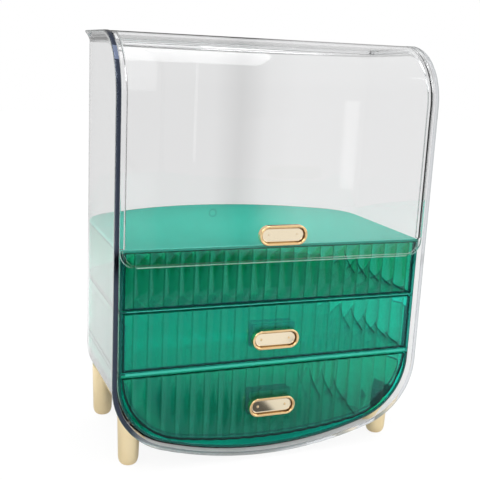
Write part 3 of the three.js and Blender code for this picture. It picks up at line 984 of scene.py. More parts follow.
class Loft:
    """A mesh in the making: grids laid over shapes, and flat caps on their ends."""

    def __init__(self) -> None:
        """Starts an empty mesh."""
        self.bm = bmesh.new()

    def skin(self, rows: Rows) -> None:
        """Lays a grid over rows of points.

        Args:
            rows: The rows, all as long.
        """
        across = len(rows[0]) - 1
        along = len(rows) - 1
        made = bmesh.ops.create_grid(self.bm, x_segments=across, y_segments=along, size=1.0)
        for vert in made["verts"]:
            column = round((vert.co.x + 1.0) / 2.0 * across)
            row = round((vert.co.y + 1.0) / 2.0 * along)
            vert.co = rows[row][column]

    def cap(self, loop: Points) -> None:
        """Closes a flat loop of points with one face."""
        self.bm.faces.new([self.bm.verts.new(point) for point in loop])

    def stack(self, loops: Rows) -> "Loft":
        """Skins closed loops one after the other, and caps the first and the last.

        Args:
            loops: The loops, all as long.

        Returns:
            This loft.
        """
        self.skin([[*loop, loop[0]] for loop in loops])
        self.cap(loops[0])
        self.cap(loops[-1])
        return self

    def trough(self, rows: Rows) -> "Loft":
        """Skins rows that all start and end in one plane, and caps the shell on every side.

        Args:
            rows: The rows, from the first flat side round to the last.

        Returns:
            This loft.
        """
        self.skin(rows)
        self.cap(rows[0])
        self.cap(rows[-1])
        self.cap([*[row[0] for row in rows], *[row[-1] for row in reversed(rows)]])
        return self

    def spin(self, profile: Section, x: float, z: float, steps: int) -> None:
        """Turns a profile once round an axis along Y.

        Args:
            profile: Its radii and places along Y.
            x: The axis' place across.
            z: The axis' height.
            steps: Steps of the turn.
        """
        verts = [self.bm.verts.new((x + radius, y, z)) for radius, y in profile]
        edges = [self.bm.edges.new(pair) for pair in zip(verts, verts[1:])]
        bmesh.ops.spin(
            self.bm, geom=[*verts, *edges], cent=(x, 0.0, z), axis=(0.0, 1.0, 0.0), dvec=Vector(),
            angle=2.0 * math.pi, steps=steps, use_merge=True, use_duplicate=False,
        )

    def block(self, low: Vector, high: Vector, edge: float) -> None:
        """Adds a rounded block.

        Args:
            low: Its lowest corner.
            high: Its highest corner.
            edge: The radius of its edges.
        """
        place = Matrix.Translation((low + high) / 2.0) @ Matrix.Diagonal((*(high - low), 1.0))
        made = bmesh.ops.create_cube(self.bm, size=1.0, matrix=place)
        edges = list({edge_ for vert in made["verts"] for edge_ in vert.link_edges})
        bmesh.ops.bevel(
            self.bm, geom=edges, offset=edge, affect="EDGES", segments=2, profile=0.5, material=-1
        )

    def finish(self, name: str) -> bpy.types.Mesh:
        """Merges the seams, points the faces outwards and marks the sharp edges.

        Args:
            name: The mesh's name.

        Returns:
            The mesh.
        """
        bm = self.bm
        bmesh.ops.remove_doubles(bm, verts=bm.verts, dist=MERGE)
        bmesh.ops.dissolve_degenerate(bm, dist=MERGE, edges=bm.edges)
        bmesh.ops.recalc_face_normals(bm, faces=bm.faces)
        for face in bm.faces:
            face.smooth = True
        for edge in bm.edges:
            edge.smooth = edge.is_manifold and edge.calc_face_angle(0.0) < SHARP_ANGLE
        open_edges = sum(1 for edge in bm.edges if not edge.is_manifold)
        if open_edges:
            LOG.warning("%s has %d open edges", name, open_edges)
        mesh = bpy.data.meshes.new(name)
        bm.to_mesh(mesh)
        bm.free()
        return mesh


class Workshop:
    """Makes each piece an object with its finish and body; the finish is its slot's material unless
    another is given.
    """

    def __init__(self) -> None:
        """Makes one material for each slot."""
        self.finishes = {slot: finish.material() for slot, finish in STOCK.items()}

    def place(
        self,
        name: str,
        loft: Loft,
        slot: Slot,
        body: Body,
        node: str,
        finish: bpy.types.Material | None = None,
    ) -> bpy.types.Mesh:
        """Turns a loft into a piece that stands for a CAD node.

        Args:
            name: The piece's name.
            loft: Its mesh in the making.
            slot: Its material slot.
            body: The body that it rides on.
            node: The CAD node that it replaces.
            finish: Its material, where it isn't the slot's own.

        Returns:
            The piece's mesh.
        """
        mesh = loft.finish(name)
        piece = bpy.data.objects.new(name, mesh)
        bpy.context.scene.collection.objects.link(piece)
        mesh.materials.append(finish or self.finishes[slot])
        weighted = piece.modifiers.new("even_normals", "WEIGHTED_NORMAL")
        weighted.keep_sharp = True
        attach(piece, body.value)
        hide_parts(node)
        LOG.info("%s: %d faces", name, len(mesh.polygons))
        return mesh

    def dress(self, node: str, slot: Slot) -> None:
        """Gives a CAD node its finish.

        Args:
            node: The node's name.
            slot: Its material slot.
        """
        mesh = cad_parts[node].data
        mesh.materials.clear()
        mesh.materials.append(self.finishes[slot])


def marks(mesh: bpy.types.Mesh, *names: str) -> zip:
    """Adds attributes to a mesh.

    Args:
        mesh: The mesh.
        names: The attributes' names.

    Returns:
        Each point of the mesh, with its value of each attribute.
    """
    for name in names:
        mesh.attributes.new(name, "FLOAT", "POINT")
    return zip(mesh.vertices, *(mesh.attributes[name].data for name in names))


# Outlines


def arc(centre: Pair, radius: float, start: float, end: float, steps: int) -> Section:
    """Points of an arc in a section, from one angle in degrees to another."""
    angles = [math.radians(start + (end - start) * step / steps) for step in range(steps + 1)]
    return [(centre[0] + radius * math.cos(a), centre[1] + radius * math.sin(a)) for a in angles]


def quarter(steps: int) -> Section:
    """Cosines and sines along a quarter turn."""
    angles = [math.pi / 2.0 * step / steps for step in range(steps + 1)]
    return [(math.cos(angle), math.sin(angle)) for angle in angles]


def tub_edge(outer: float, inner: float) -> Section:
    """Insets and depths round a tub's edge, between the insets of its outer and inner wall."""
    half = [(outer, TUB_FLANK), (outer, EDGE), (outer + EDGE, 0.0)]
    return [*half, (inner - EDGE, 0.0), (inner, EDGE), (inner, TUB_FLANK)]


@dataclass(frozen=True)
class BowedEdge:
    """Straight sides, round corners and a bowed end, measured from the middle of that end."""

    half_width: float
    bow_radius: float
    corner_radius: float

    @property
    def corner_x(self) -> float:
        """Distance from the middle to a corner's centre."""
        return self.half_width - self.corner_radius

    @property
    def corner_run(self) -> float:
        """Distance from the end to a corner's centre."""
        reach = self.bow_radius - self.corner_radius
        return self.bow_radius - math.sqrt(reach**2 - self.corner_x**2)

    def run(self, x: float, inset: float) -> float:
        """Distance from the end to the outline.

        Args:
            x: The place across.
            inset: How far the outline is moved inwards.

        Returns:
            The distance.
        """
        bow = self.bow_radius - inset
        turn = self.corner_x * bow / (self.bow_radius - self.corner_radius)
        if abs(x) <= turn:
            return self.bow_radius - math.sqrt(bow**2 - x**2)
        reach = (self.corner_radius - inset) ** 2 - (abs(x) - self.corner_x) ** 2
        return self.corner_run - math.sqrt(max(reach, 0.0))

    def shares(self, corner_steps: int, bow_steps: int) -> list[float]:
        """Places across as shares of the half width, close together in the corners.

        Args:
            corner_steps: Steps in a corner.
            bow_steps: Steps in half of the bow.

        Returns:
            Shares from -1 to 1.
        """
        sweep = math.atan2(self.bow_radius - self.corner_run, self.corner_x)
        corner = [
            (self.corner_x + self.corner_radius * math.cos(sweep * step / corner_steps))
            / self.half_width
            for step in range(corner_steps + 1)
        ]
        last = corner[-1]
        half = corner + [last * (1.0 - step / bow_steps) for step in range(1, bow_steps)]
        return [-share for share in half] + [0.0] + half[::-1]


@dataclass(frozen=True)
class CaseOutline:
    """The space of a tub: a front view and a plan, with an opening at the front and on top."""

    under: BowedEdge = BowedEdge(146.0 * MM, 333.0 * MM, 63.0 * MM)
    behind: BowedEdge = BowedEdge(146.0 * MM, 218.0 * MM, 48.0 * MM)
    bottom: float = 9.3 * MM
    back: float = 103.85 * MM
    front: float = CASE_FRONT
    top: float = CASE_TOP
    bend: float = CASE_BEND
    heel: float = 7.0 * MM
    heel_share: float = 0.8
    behind_shift: float = 0.0
    least_side: float = 2.5 * MM
    corner_steps: int = 16
    bow_steps: int = 8
    bend_steps: int = 40
    heel_steps: int = 6

    def half(self, inset: float) -> float:
        """Half of the width, short of the corners' upper ends where the top cuts them off.

        Args:
            inset: How far the outline is moved inwards.

        Returns:
            The half width.
        """
        lift = self.bottom + self.under.corner_run + self.least_side - self.top
        if lift <= 0.0:
            return self.under.half_width - inset
        return self.under.corner_x + math.sqrt((self.under.corner_radius - inset) ** 2 - lift**2)

    def across(self, inset: float) -> list[float]:
        """Places across from left to right, at an inset."""
        shares = self.under.shares(self.corner_steps, self.bow_steps)
        return [self.half(inset) * share for share in shares]

    def low(self, x: float, inset: float) -> float:
        """Height of the underside at a place across and an inset."""
        return self.bottom + self.under.run(x, inset)

    def rear(self, x: float, inset: float) -> float:
        """Place of the rear wall along Y, at a place across and an inset."""
        return self.back - self.behind.run(x, inset - self.behind_shift)

    def inset(self, x: float, z: float) -> float:
        """How far a place in the front view lies inside the outline.

        Args:
            x: The place across.
            z: The height.

        Returns:
            The distance, negative outside.
        """
        aside = abs(x) - self.under.corner_x
        rise = z - self.bottom - self.under.corner_run
        if aside > 0.0 and rise < 0.0:
            return self.under.corner_radius - math.hypot(aside, rise)
        if rise < 0.0:
            return self.under.bow_radius - math.hypot(x, z - self.bottom - self.under.bow_radius)
        return self.under.half_width - abs(x)

    def side(self, side: int, inset: float, depth: float) -> Points:
        """The opening's edge along one side wall, from the front corner to the rear corner.

        Args:
            side: -1 for the left side, 1 for the right.
            inset: How far the outline is moved inwards.
            depth: Distance below the opening's face.

        Returns:
            The points.
        """
        x = side * self.half(inset)
        y, z, radius = self.front + self.bend, self.top - self.bend, self.bend - depth
        turn = [(y - radius * cos, z + radius * sin) for cos, sin in quarter(self.bend_steps)]
        first = (self.front + depth, self.low(x, inset))
        last = (self.rear(x, inset), self.top - depth)
        return [Vector((x, *place)) for place in (first, *turn, last)]

    def rim(self, inset: float, depth: float) -> Points:
        """The opening's edge all round, closed.

        Args:
            inset: How far the outline is moved inwards.
            depth: Distance below the opening's face.

        Returns:
            The points, the first one again at the end.
        """
        places = self.across(inset)
        below = [Vector((x, self.front + depth, self.low(x, inset))) for x in places]
        behind = [Vector((x, self.rear(x, inset), self.top - depth)) for x in reversed(places)]
        right = self.side(1, inset, depth)
        left = self.side(-1, inset, depth)[::-1]
        return [*below, *right[1:], *behind[1:], *left[1:]]

    def profile(self, x: float, inset: float, depth: float) -> Points:
        """The section of the skin from the front over the heel to the top.

        Args:
            x: The place across.
            inset: How far the outline is moved inwards.
            depth: Distance below the opening's face.

        Returns:
            The points.
        """
        low, rear, top = self.low(x, inset), self.rear(x, inset), self.top - depth
        radius = min(self.heel - inset, self.heel_share * (top - low))
        turn = [
            (rear - radius + radius * sin, low + radius - radius * cos)
            for cos, sin in quarter(self.heel_steps)
        ]
        return [Vector((x, *place)) for place in ((self.front + depth, low), *turn, (rear, top))]

    def lay(self, loft: Loft, inset: float, depth: float) -> None:
        """Lays the bottom, the rear wall and the side walls of one skin.

        Args:
            loft: The mesh in the making.
            inset: How far the skin is moved inwards.
            depth: Distance below the opening's face at which it ends.
        """
        loft.skin([self.profile(x, inset, depth) for x in self.across(inset)])
        for side in SIDES:
            back_down = self.profile(side * self.half(inset), inset, depth)[::-1]
            loft.cap([*self.side(side, inset, depth), *back_down[1:-1]])

    def tub(self, edge: Section) -> Loft:
        """Makes a whole tub.

        Args:
            edge: Insets and depths from the outer wall round the edge to the inner wall.

        Returns:
            The mesh in the making.
        """
        loft = Loft()
        loft.skin([self.rim(inset, depth) for inset, depth in edge])
        self.lay(loft, *edge[0])
        self.lay(loft, *edge[-1])
        return loft

    def wall_path(self, inset: float, front: float, height: float) -> Points:
        """A U in plan along the walls.

        Args:
            inset: How far it is moved inwards.
            front: The place along Y where it starts and ends.
            height: Its height.

        Returns:
            The points, from the left end to the right one.
        """
        places = self.across(inset)
        walls = [(x, self.rear(x, inset)) for x in places]
        path = [(places[0], front), *walls, (places[-1], front)]
        return [Vector((x, y, height)) for x, y in path]


@dataclass(frozen=True)
class DrawerOutline:
    """Front view of the lower drawer, and the trays' plan."""

    lower: BowedEdge = BowedEdge(FRONT_HALF_WIDTH, 500.0 * MM, 64.0 * MM)
    lower_bottom: float = LOWER_FRONT[0]
    tray_inset: float = 2.8 * MM
    tray_plan: BowedEdge = BowedEdge(139.4 * MM, 205.0 * MM, 35.0 * MM)
    tray_back: float = 90.85 * MM
    tray_front: float = -94.45 * MM

    def front_bottom(self, x: float) -> float:
        """Height of the lower drawer front's lower edge at a place across."""
        return self.lower_bottom + self.lower.run(x, 0.0)

    def tray_bottom(self, x: float) -> float:
        """Height of the lower tray's underside at a place across."""
        return self.lower_bottom + self.lower.run(x, self.tray_inset)


# Case


@dataclass
class ClearCase:
    """The outer case and the fixed cover over the rear of its top."""

    outline: CaseOutline = CaseOutline()
    wall: float = 2.2 * MM
    flare: float = 4.0 * MM
    lip: float = 1.6 * MM
    taper: float = 8.6 * MM
    rebate_inset: float = 0.4 * MM
    rebate_depth: float = 7.0 * MM
    edge: float = 0.7 * MM
    cove_steps: int = 8
    crown_sweep: Sweep = (180, 270, 4)
    nose_sweep: Sweep = (-90, 0, 3)
    cover_inset: float = 0.8 * MM
    cover_thickness: float = 2.5 * MM
    cover_front: float = 20.25 * MM
    skirt: float = 4.5 * MM
    # Where the painted shade on the rim's left side starts, and how far it runs, as shares of the
    # half width
    shade_start_share: float = 0.74
    shade_run_share: float = 0.16
    face_depth: float = 0.06 * MM
    edge_width: float = 0.4 * MM
    edge_depths: Pair = (0.1 * MM, 2.0 * MM)

    def rim_section(self) -> Section:
        """The section of the rim band, from the outer wall to the inner wall.

        Returns:
            Insets and depths.
        """
        shares = [step / self.cove_steps for step in range(self.cove_steps + 1)]
        cove = [(-self.flare * share**2, self.lip + self.taper * (1.0 - share)) for share in shares]
        crown = arc((-self.flare + self.edge, self.edge), self.edge, *self.crown_sweep)
        lip = self.edge / 2
        nose = arc((self.rebate_inset - lip, lip), lip, *self.nose_sweep)
        seat = [
            (self.rebate_inset, self.rebate_depth),
            (self.wall - lip, self.rebate_depth),
            (self.wall, self.rebate_depth + lip),
        ]
        end = self.lip + self.taper + self.edge
        return [(0.0, end), *cove, *crown, *nose, *seat, (self.wall, end)]

    def painted_rim_shade(self, mesh: bpy.types.Mesh) -> None:
        """Marks where the painted light and shade go: the painted highlight on the rim's front
        face, the painted shade most on its left side, and the painted dark line along the rim's
        outer edge.

        Args:
            mesh: The case's mesh.
        """
        bend = self.outline.bend
        bend_y = self.outline.front + bend
        bend_z = self.outline.top - bend
        painted_highlight = CASE_CLEAR.pale_mark
        for vert, face, rim in marks(mesh, CASE_CLEAR.face_mark, CASE_CLEAR.outer_mark):
            x, y, z = vert.co
            depth = bend - math.hypot(min(y - bend_y, 0.0), max(z - bend_z, 0.0))
            # The painted shade grows towards the left end
            left = -x / self.outline.under.half_width - self.shade_start_share
            left_shade = min(max(left / self.shade_run_share, 0.0), 1.0)
            in_face = depth < self.face_depth and y < bend_y
            face.value = painted_highlight + (1.0 - painted_highlight) * left_shade if in_face else 0.0
            outside = self.outline.inset(x, z) < self.edge_width - self.flare
            rim.value = float(outside and self.edge_depths[0] < depth < self.edge_depths[1])

    def cover(self) -> Loft:
        """The rear cover: a plate with a skirt on three sides.

        Returns:
            The mesh in the making.
        """
        top = self.outline.top - GAP
        under = top - self.cover_thickness
        seat = self.outline.top - self.rebate_depth + GAP
        outer = self.cover_inset
        inner = outer + self.skirt
        lip = self.edge / 2
        section = [
            (outer + lip, top), (outer, top - lip), (outer, seat + lip), (outer + lip, seat),
            (inner - lip, seat), (inner, seat + lip), (inner, under),
        ]
        path, front = self.outline.wall_path, self.cover_front
        return Loft().trough([path(inset, front, z) for inset, z in section])

    def build(self, shop: Workshop) -> None:
        """Makes both pieces.

        Args:
            shop: The workshop.
        """
        shell, finish = self.outline.tub(self.rim_section()), CASE_CLEAR.material()
        # Marks the rim's painted highlight, painted shade and painted dark line
        self.painted_rim_shade(
            shop.place("clear_case_shell", shell, Slot.CLEAR, Body.CASE, "outer_case", finish)
        )
        shop.place("clear_rear_cover", self.cover(), Slot.CLEAR, Body.CASE, "rear_top_cover")


# Lid


@dataclass
class BentLid:
    """The lid: one bent sheet with side flanges and a hinge bead."""

    half_width: float = LID_HALF_WIDTH
    thickness: float = LID_THICKNESS
    foot: float = LID_FOOT
    corner: float = LID_CORNER
    flange_width: float = 4.5 * MM
    flange_depth: float = 6.4 * MM
    flange_foot: float = 206.0 * MM
    front: float = CASE_FRONT
    top: float = CASE_TOP
    bend: float = CASE_BEND
    hinge_y: float = 15.85 * MM
    bead: float = 3.2 * MM
    edge: float = 0.6 * MM
    foot_pinches: tuple[Pair, ...] = (
        (0.0, 0.9 * MM), (0.2 * MM, 0.4 * MM), (0.6 * MM, 0.12 * MM),
    )
    least_rise: Pair = (0.9 * MM, 0.2 * MM)
    face_sweep: Sweep = (-90, 0, 3)
    flank_sweep: Sweep = (0, 90, 3)
    foot_steps: int = 12
    bend_steps: int = 48
    bead_steps: int = 16

    def across(self, half: float, flange: float) -> Section:
        """The lid's closed section across, as places across and depths.

        Args:
            half: Half of the width here.
            flange: Depth of the flanges here, or the sheet's thickness where there are none.

        Returns:
            The section's points.
        """
        edge = self.edge
        root = half - self.flange_width
        right = [
            *arc((half - edge, edge), edge, *self.face_sweep),
            *arc((half - edge, flange - edge), edge, *self.flank_sweep),
            (root + edge / 2, flange),
            (root, flange - edge / 2),
            (root, self.thickness + (edge if flange > self.thickness else 0.0)),
            (root - edge, self.thickness),
        ]
        return [*right, *[(-x, depth) for x, depth in reversed(right)]]

    def pinched(self, half: float, amount: float) -> Section:
        """The plain section with its faces drawn together by an amount each."""
        low, high = amount, self.thickness - amount
        return [(x, min(max(d, low), high)) for x, d in self.across(half, self.thickness)]

    def beaded(self, section: Section, reach: float, dip: float) -> Section:
        """A section of the bead, which rounds the sheet's rear edge off.

        Args:
            section: The section before it.
            reach: Distance behind the bead's middle, as a share of its radius.
            dip: Half of the bead's height here.

        Returns:
            The section's points.
        """
        shallow = 0.0 if reach < 0 else self.bead - dip
        deep = self.bead + dip
        points = []
        for x, depth in section:
            if depth < self.thickness / 2:
                points.append((x, min(max(depth, shallow), deep)))
            elif depth > self.thickness + self.edge and reach < 0:
                points.append((x, max(deep, depth)))
            else:
                points.append((x, deep))
        return points

    def rings(self) -> Rows:
        """Every ring of the lid, from its lower edge over the bend to the bead.

        Returns:
            The rings' points.
        """
        rows: Rows = []
        face, roof = self.front + GAP, self.top - GAP

        def ring(section: Section, at: Callable[[float], Vector]) -> None:
            """Adds a ring whose middle plane has a place for each depth."""
            rows.append([at(depth) + Vector((x, 0.0, 0.0)) for x, depth in section])

        def upright(section: Section, z: float) -> None:
            """Adds a ring on the front at one height."""
            ring(section, lambda depth: Vector((0.0, face + depth, z)))

        for lift, amount in self.foot_pinches:
            upright(self.pinched(self.half_width - self.corner, amount), self.foot + lift)
        least, more = self.least_rise
        for count, (cos, sin) in enumerate(quarter(self.foot_steps)[1:], 1):
            half = self.half_width - self.corner + self.corner * sin
            rise = max(self.corner * (1.0 - cos), least + count * more)
            upright(self.across(half, self.thickness), self.foot + rise)
        flanged = self.across(self.half_width, self.flange_depth)
        upright(self.across(self.half_width, self.thickness), self.flange_foot)
        upright(flanged, self.flange_foot)
        centre = Vector((0.0, self.front + self.bend, self.top - self.bend))
        for cos, sin in quarter(self.bend_steps):
            aim = Vector((0.0, -cos, sin))
            ring(flanged, lambda depth: centre + aim * (self.bend - GAP - depth))
        for step in range(self.bead_steps):
            angle = math.pi * step / self.bead_steps
            reach = -math.cos(angle)
            y = self.hinge_y + self.bead * reach
            section = self.beaded(flanged, reach, self.bead * math.sin(angle))
            ring(section, lambda depth: Vector((0.0, y, roof - depth)))
        return rows

    def build(self, shop: Workshop) -> None:
        """Makes the lid in a workshop."""
        loft, finish = Loft().stack(self.rings()), LID_CLEAR.material()
        shop.place("clear_bent_lid", loft, Slot.CLEAR, Body.LID, "lid_panel", finish)


# Cabinet


@dataclass
class Cabinet:
    """The fixed green parts: shelf, dividers, walls and base."""

    outline: CaseOutline = CaseOutline()
    drawers: DrawerOutline = DrawerOutline()
    front: float = CABINET_FRONT
    outer: float = 2.6 * MM
    inner: float = 5.0 * MM
    shelf_top: float = 205.0 * MM
    shelf_thickness: float = 2.5 * MM
    shelf_nose: float = 2.1 * MM
    nose_sweep: Sweep = (180, 90, 6)
    upper_top: float = 151.4 * MM
    upper_thickness: float = 2.0 * MM
    lower_top: float = 95.8 * MM
    lower_thickness: float = 2.2 * MM
    lower_height: float = 4.5 * MM
    lip: float = 3.0 * MM
    base_heel: float = 9.0 * MM
    runner_x: float = 96.0 * MM
    runner_width: float = 2.0 * MM
    runner_step: float = 4.0 * MM
    runner_back: float = 86.0 * MM
    runner_edge: float = 0.2 * MM

    def plate(self, low: float, high: float, nose: float) -> Loft:
        """A flat plate with a rounded upper edge.

        Args:
            low: Its underside.
            high: Its upper side.
            nose: The radius of the upper edge.

        Returns:
            The mesh in the making.
        """
        upper = arc((nose, high - nose), nose, *self.nose_sweep)
        section = [(EDGE, low), (0.0, low + EDGE), *upper]
        path, outer, front = self.outline.wall_path, self.outer, self.front
        return Loft().stack([path(outer + inset, front + inset, z) for inset, z in section])

    def wall(self, low: float, high: float) -> Loft:
        """A U of wall between two plates.

        Args:
            low: Its lower edge.
            high: Its upper edge.

        Returns:
            The mesh in the making.
        """
        outer, inner = self.outer, self.inner
        section = [
            (outer + EDGE, low), (outer, low + EDGE), (outer, high - EDGE), (outer + EDGE, high),
            (inner - EDGE, high), (inner, high - EDGE), (inner, low + EDGE), (inner - EDGE, low),
        ]
        rows = [self.outline.wall_path(inset, self.front, z) for inset, z in section]
        loft = Loft()
        loft.skin([*rows, rows[0]])
        loft.cap([row[0] for row in rows])
        loft.cap([row[-1] for row in rows])
        return loft

    def divider(self) -> Loft:
        """The lower divider: a plate with a skirt all round and a deeper lip at the front.

        Returns:
            The mesh in the making.
        """
        low = self.lower_top - self.lower_height
        outer, inner = self.outer, self.inner
        front, back = self.front, self.front + self.lip
        section = [
            (outer + EDGE, front + EDGE, self.lower_top),
            (outer, front, self.lower_top - EDGE),
            (outer, front, low + EDGE),
            (outer + EDGE, front + EDGE, low),
            (inner - EDGE, back - EDGE, low),
            (inner, back, low + EDGE),
            (inner, back, self.lower_top - self.lower_thickness),
        ]
        return Loft().stack([self.outline.wall_path(*place) for place in section])

    def base(self) -> Loft:
        """The base shell with its two runner ribs.

        Returns:
            The mesh in the making.
        """
        top = self.lower_top - self.lower_height - GAP
        shell = CaseOutline(
            front=self.front, top=top, bend=TUB_BEND, heel=self.base_heel, bend_steps=TUB_STEPS
        )
        loft = shell.tub(tub_edge(self.outer, self.inner))
        seat = self.front + self.runner_step
        floor = shell.low(self.runner_x, self.inner) - GAP
        ribs = (
            (self.front, seat, self.drawers.front_bottom(self.runner_x) - GAP),
            (seat - GAP, self.runner_back, self.drawers.tray_bottom(self.runner_x) - GAP),
        )
        half = self.runner_width / 2
        for side in SIDES:
            left, right = side * self.runner_x - half, side * self.runner_x + half
            for near, far, top in ribs:
                loft.block(Vector((left, near, floor)), Vector((right, far, top)), self.runner_edge)
        return loft

    def build(self, shop: Workshop) -> None:
        """Makes the fixed green parts.

        Args:
            shop: The workshop.
        """
        shelf_low = self.shelf_top - self.shelf_thickness
        upper_low = self.upper_top - self.upper_thickness
        shelf = self.plate(shelf_low, self.shelf_top, self.shelf_nose)
        milky = MILKY_GREEN.material()
        shop.place("green_shelf", shelf, Slot.GREEN, Body.CASE, "cabinet_shelf", milky)
        upper_wall = self.wall(self.upper_top + GAP, shelf_low - GAP)
        middle_wall = self.wall(self.lower_top + GAP, upper_low - GAP)
        for name, loft, node in (
            ("green_upper_divider", self.plate(upper_low, self.upper_top, EDGE), "upper_divider"),
            ("green_upper_wall", upper_wall, "cabinet_upper_wall"),
            ("green_middle_wall", middle_wall, "cabinet_middle_wall"),
            ("green_lower_divider", self.divider(), "lower_divider"),
            ("green_base", self.base(), "cabinet_base"),
        ):
            shop.place(name, loft, Slot.GREEN, Body.CASE, node)


# Small parts


@dataclass
class OvalPull:
    """A shallow oval dish with a round polished rim, on two posts."""

    face: float
    height: float
    panel: float
    width: float = 45.5 * MM
    depth: float = 18.0 * MM
    proud: float = 6.0 * MM
    rim: float = 1.1 * MM
    outer_sweep: Sweep = (180, 90, 5)
    inner_sweep: Sweep = (90, 20, 4)
    slope: float = 1.3 * MM
    dish: float = 3.4 * MM
    lip_step: Pair = (0.15 * MM, 0.5 * MM)
    bowl_run: float = 0.45 * MM
    bowl_rises: Pair = (0.55 * MM, 0.12 * MM)
    post: float = 1.6 * MM
    post_tip: float = 1.1 * MM
    post_spacing: float = 27.0 * MM
    post_end: float = 1.2 * MM
    overlap: float = 0.1 * MM
    dome: tuple[Pair, ...] = (
        (0.0, -0.25 * MM), (0.7 * MM, -0.2 * MM), (1.3 * MM, -0.02 * MM),
        (1.3 * MM, 0.1 * MM), (0.0, 0.1 * MM),
    )
    floor_band: float = 0.2 * MM
    hollow_gap: float = 0.3 * MM
    round_steps: int = 24
    post_steps: int = 20

    def oval(self, inset: float, y: float) -> Points:
        """An oval outline.

        Args:
            inset: How far it is moved inwards.
            y: Its place along Y.

        Returns:
            The points.
        """
        radius = self.depth / 2 - inset
        reach = (self.width - self.depth) / 2
        points = []
        for side in reversed(SIDES):
            for step in range(self.round_steps + 1):
                angle = math.pi * step / self.round_steps - math.pi / 2.0 * side
                x = side * reach + radius * math.cos(angle)
                points.append(Vector((x, y, self.height + radius * math.sin(angle))))
        return points

    def section(self) -> Section:
        """The section from the back edge over the rim to the dish's floor.

        Returns:
            Insets and distances in front of the face.
        """
        crown = self.proud
        centre = (self.rim, crown - self.rim)
        outer = arc(centre, self.rim, *self.outer_sweep)
        inner = arc(centre, self.rim, *self.inner_sweep)
        lip = self.rim * 2.0
        floor = crown - self.dish
        foot = lip + self.slope
        bowl = [
            (lip + self.lip_step[0], crown - self.rim - self.lip_step[1]),
            (foot - self.bowl_run, floor + self.bowl_rises[0]),
            (foot, floor + self.bowl_rises[1]),
            (foot + self.bowl_run, floor),
        ]
        return [(EDGE, GAP), (0.0, GAP + EDGE), *outer, *inner[1:], *bowl]

    def trace(self, mesh: bpy.types.Mesh) -> None:
        """Marks the dish's floor, where the painted reflection goes, and the hollow between the rim
        and the floor, where the painted shade goes.

        Args:
            mesh: The pull's mesh.
        """
        lip = self.rim * 2.0
        for vert, floor, hollow in marks(mesh, GOLD.floor_mark, GOLD.hollow_mark):
            x, y, z = vert.co
            reach = math.hypot(max(abs(x) - (self.width - self.depth) / 2, 0.0), z - self.height)
            inset = self.depth / 2 - reach
            sunk = y - self.face + self.proud
            inside = inset > lip - self.overlap and sunk < self.dish + self.floor_band
            floor.value = float(inside and sunk > self.dish - self.floor_band)
            hollow.value = float(inside and self.rim < sunk < self.dish - self.hollow_gap)

    def build(self, shop: Workshop, name: str, body: Body, node: str) -> None:
        """Makes the pull.

        Args:
            shop: The workshop.
            name: The piece's name.
            body: The body that it rides on.
            node: The CAD node that it replaces.
        """
        loft = Loft().stack([self.oval(inset, self.face - out) for inset, out in self.section()])
        floor = self.face - self.proud + self.dish
        start = self.face - GAP - self.overlap
        end = self.face + self.panel + self.post_end
        post = [
            (0.0, start), (self.post, start), (self.post, end - EDGE), (self.post_tip, end),
            (0.0, end),
        ]
        dome = [(radius, floor + rise) for radius, rise in self.dome]
        for side in SIDES:
            for profile in (post, dome):
                x = side * self.post_spacing / 2
                loft.spin(profile, x, self.height, self.post_steps)
        self.trace(shop.place(name, loft, Slot.GOLD, body, node))


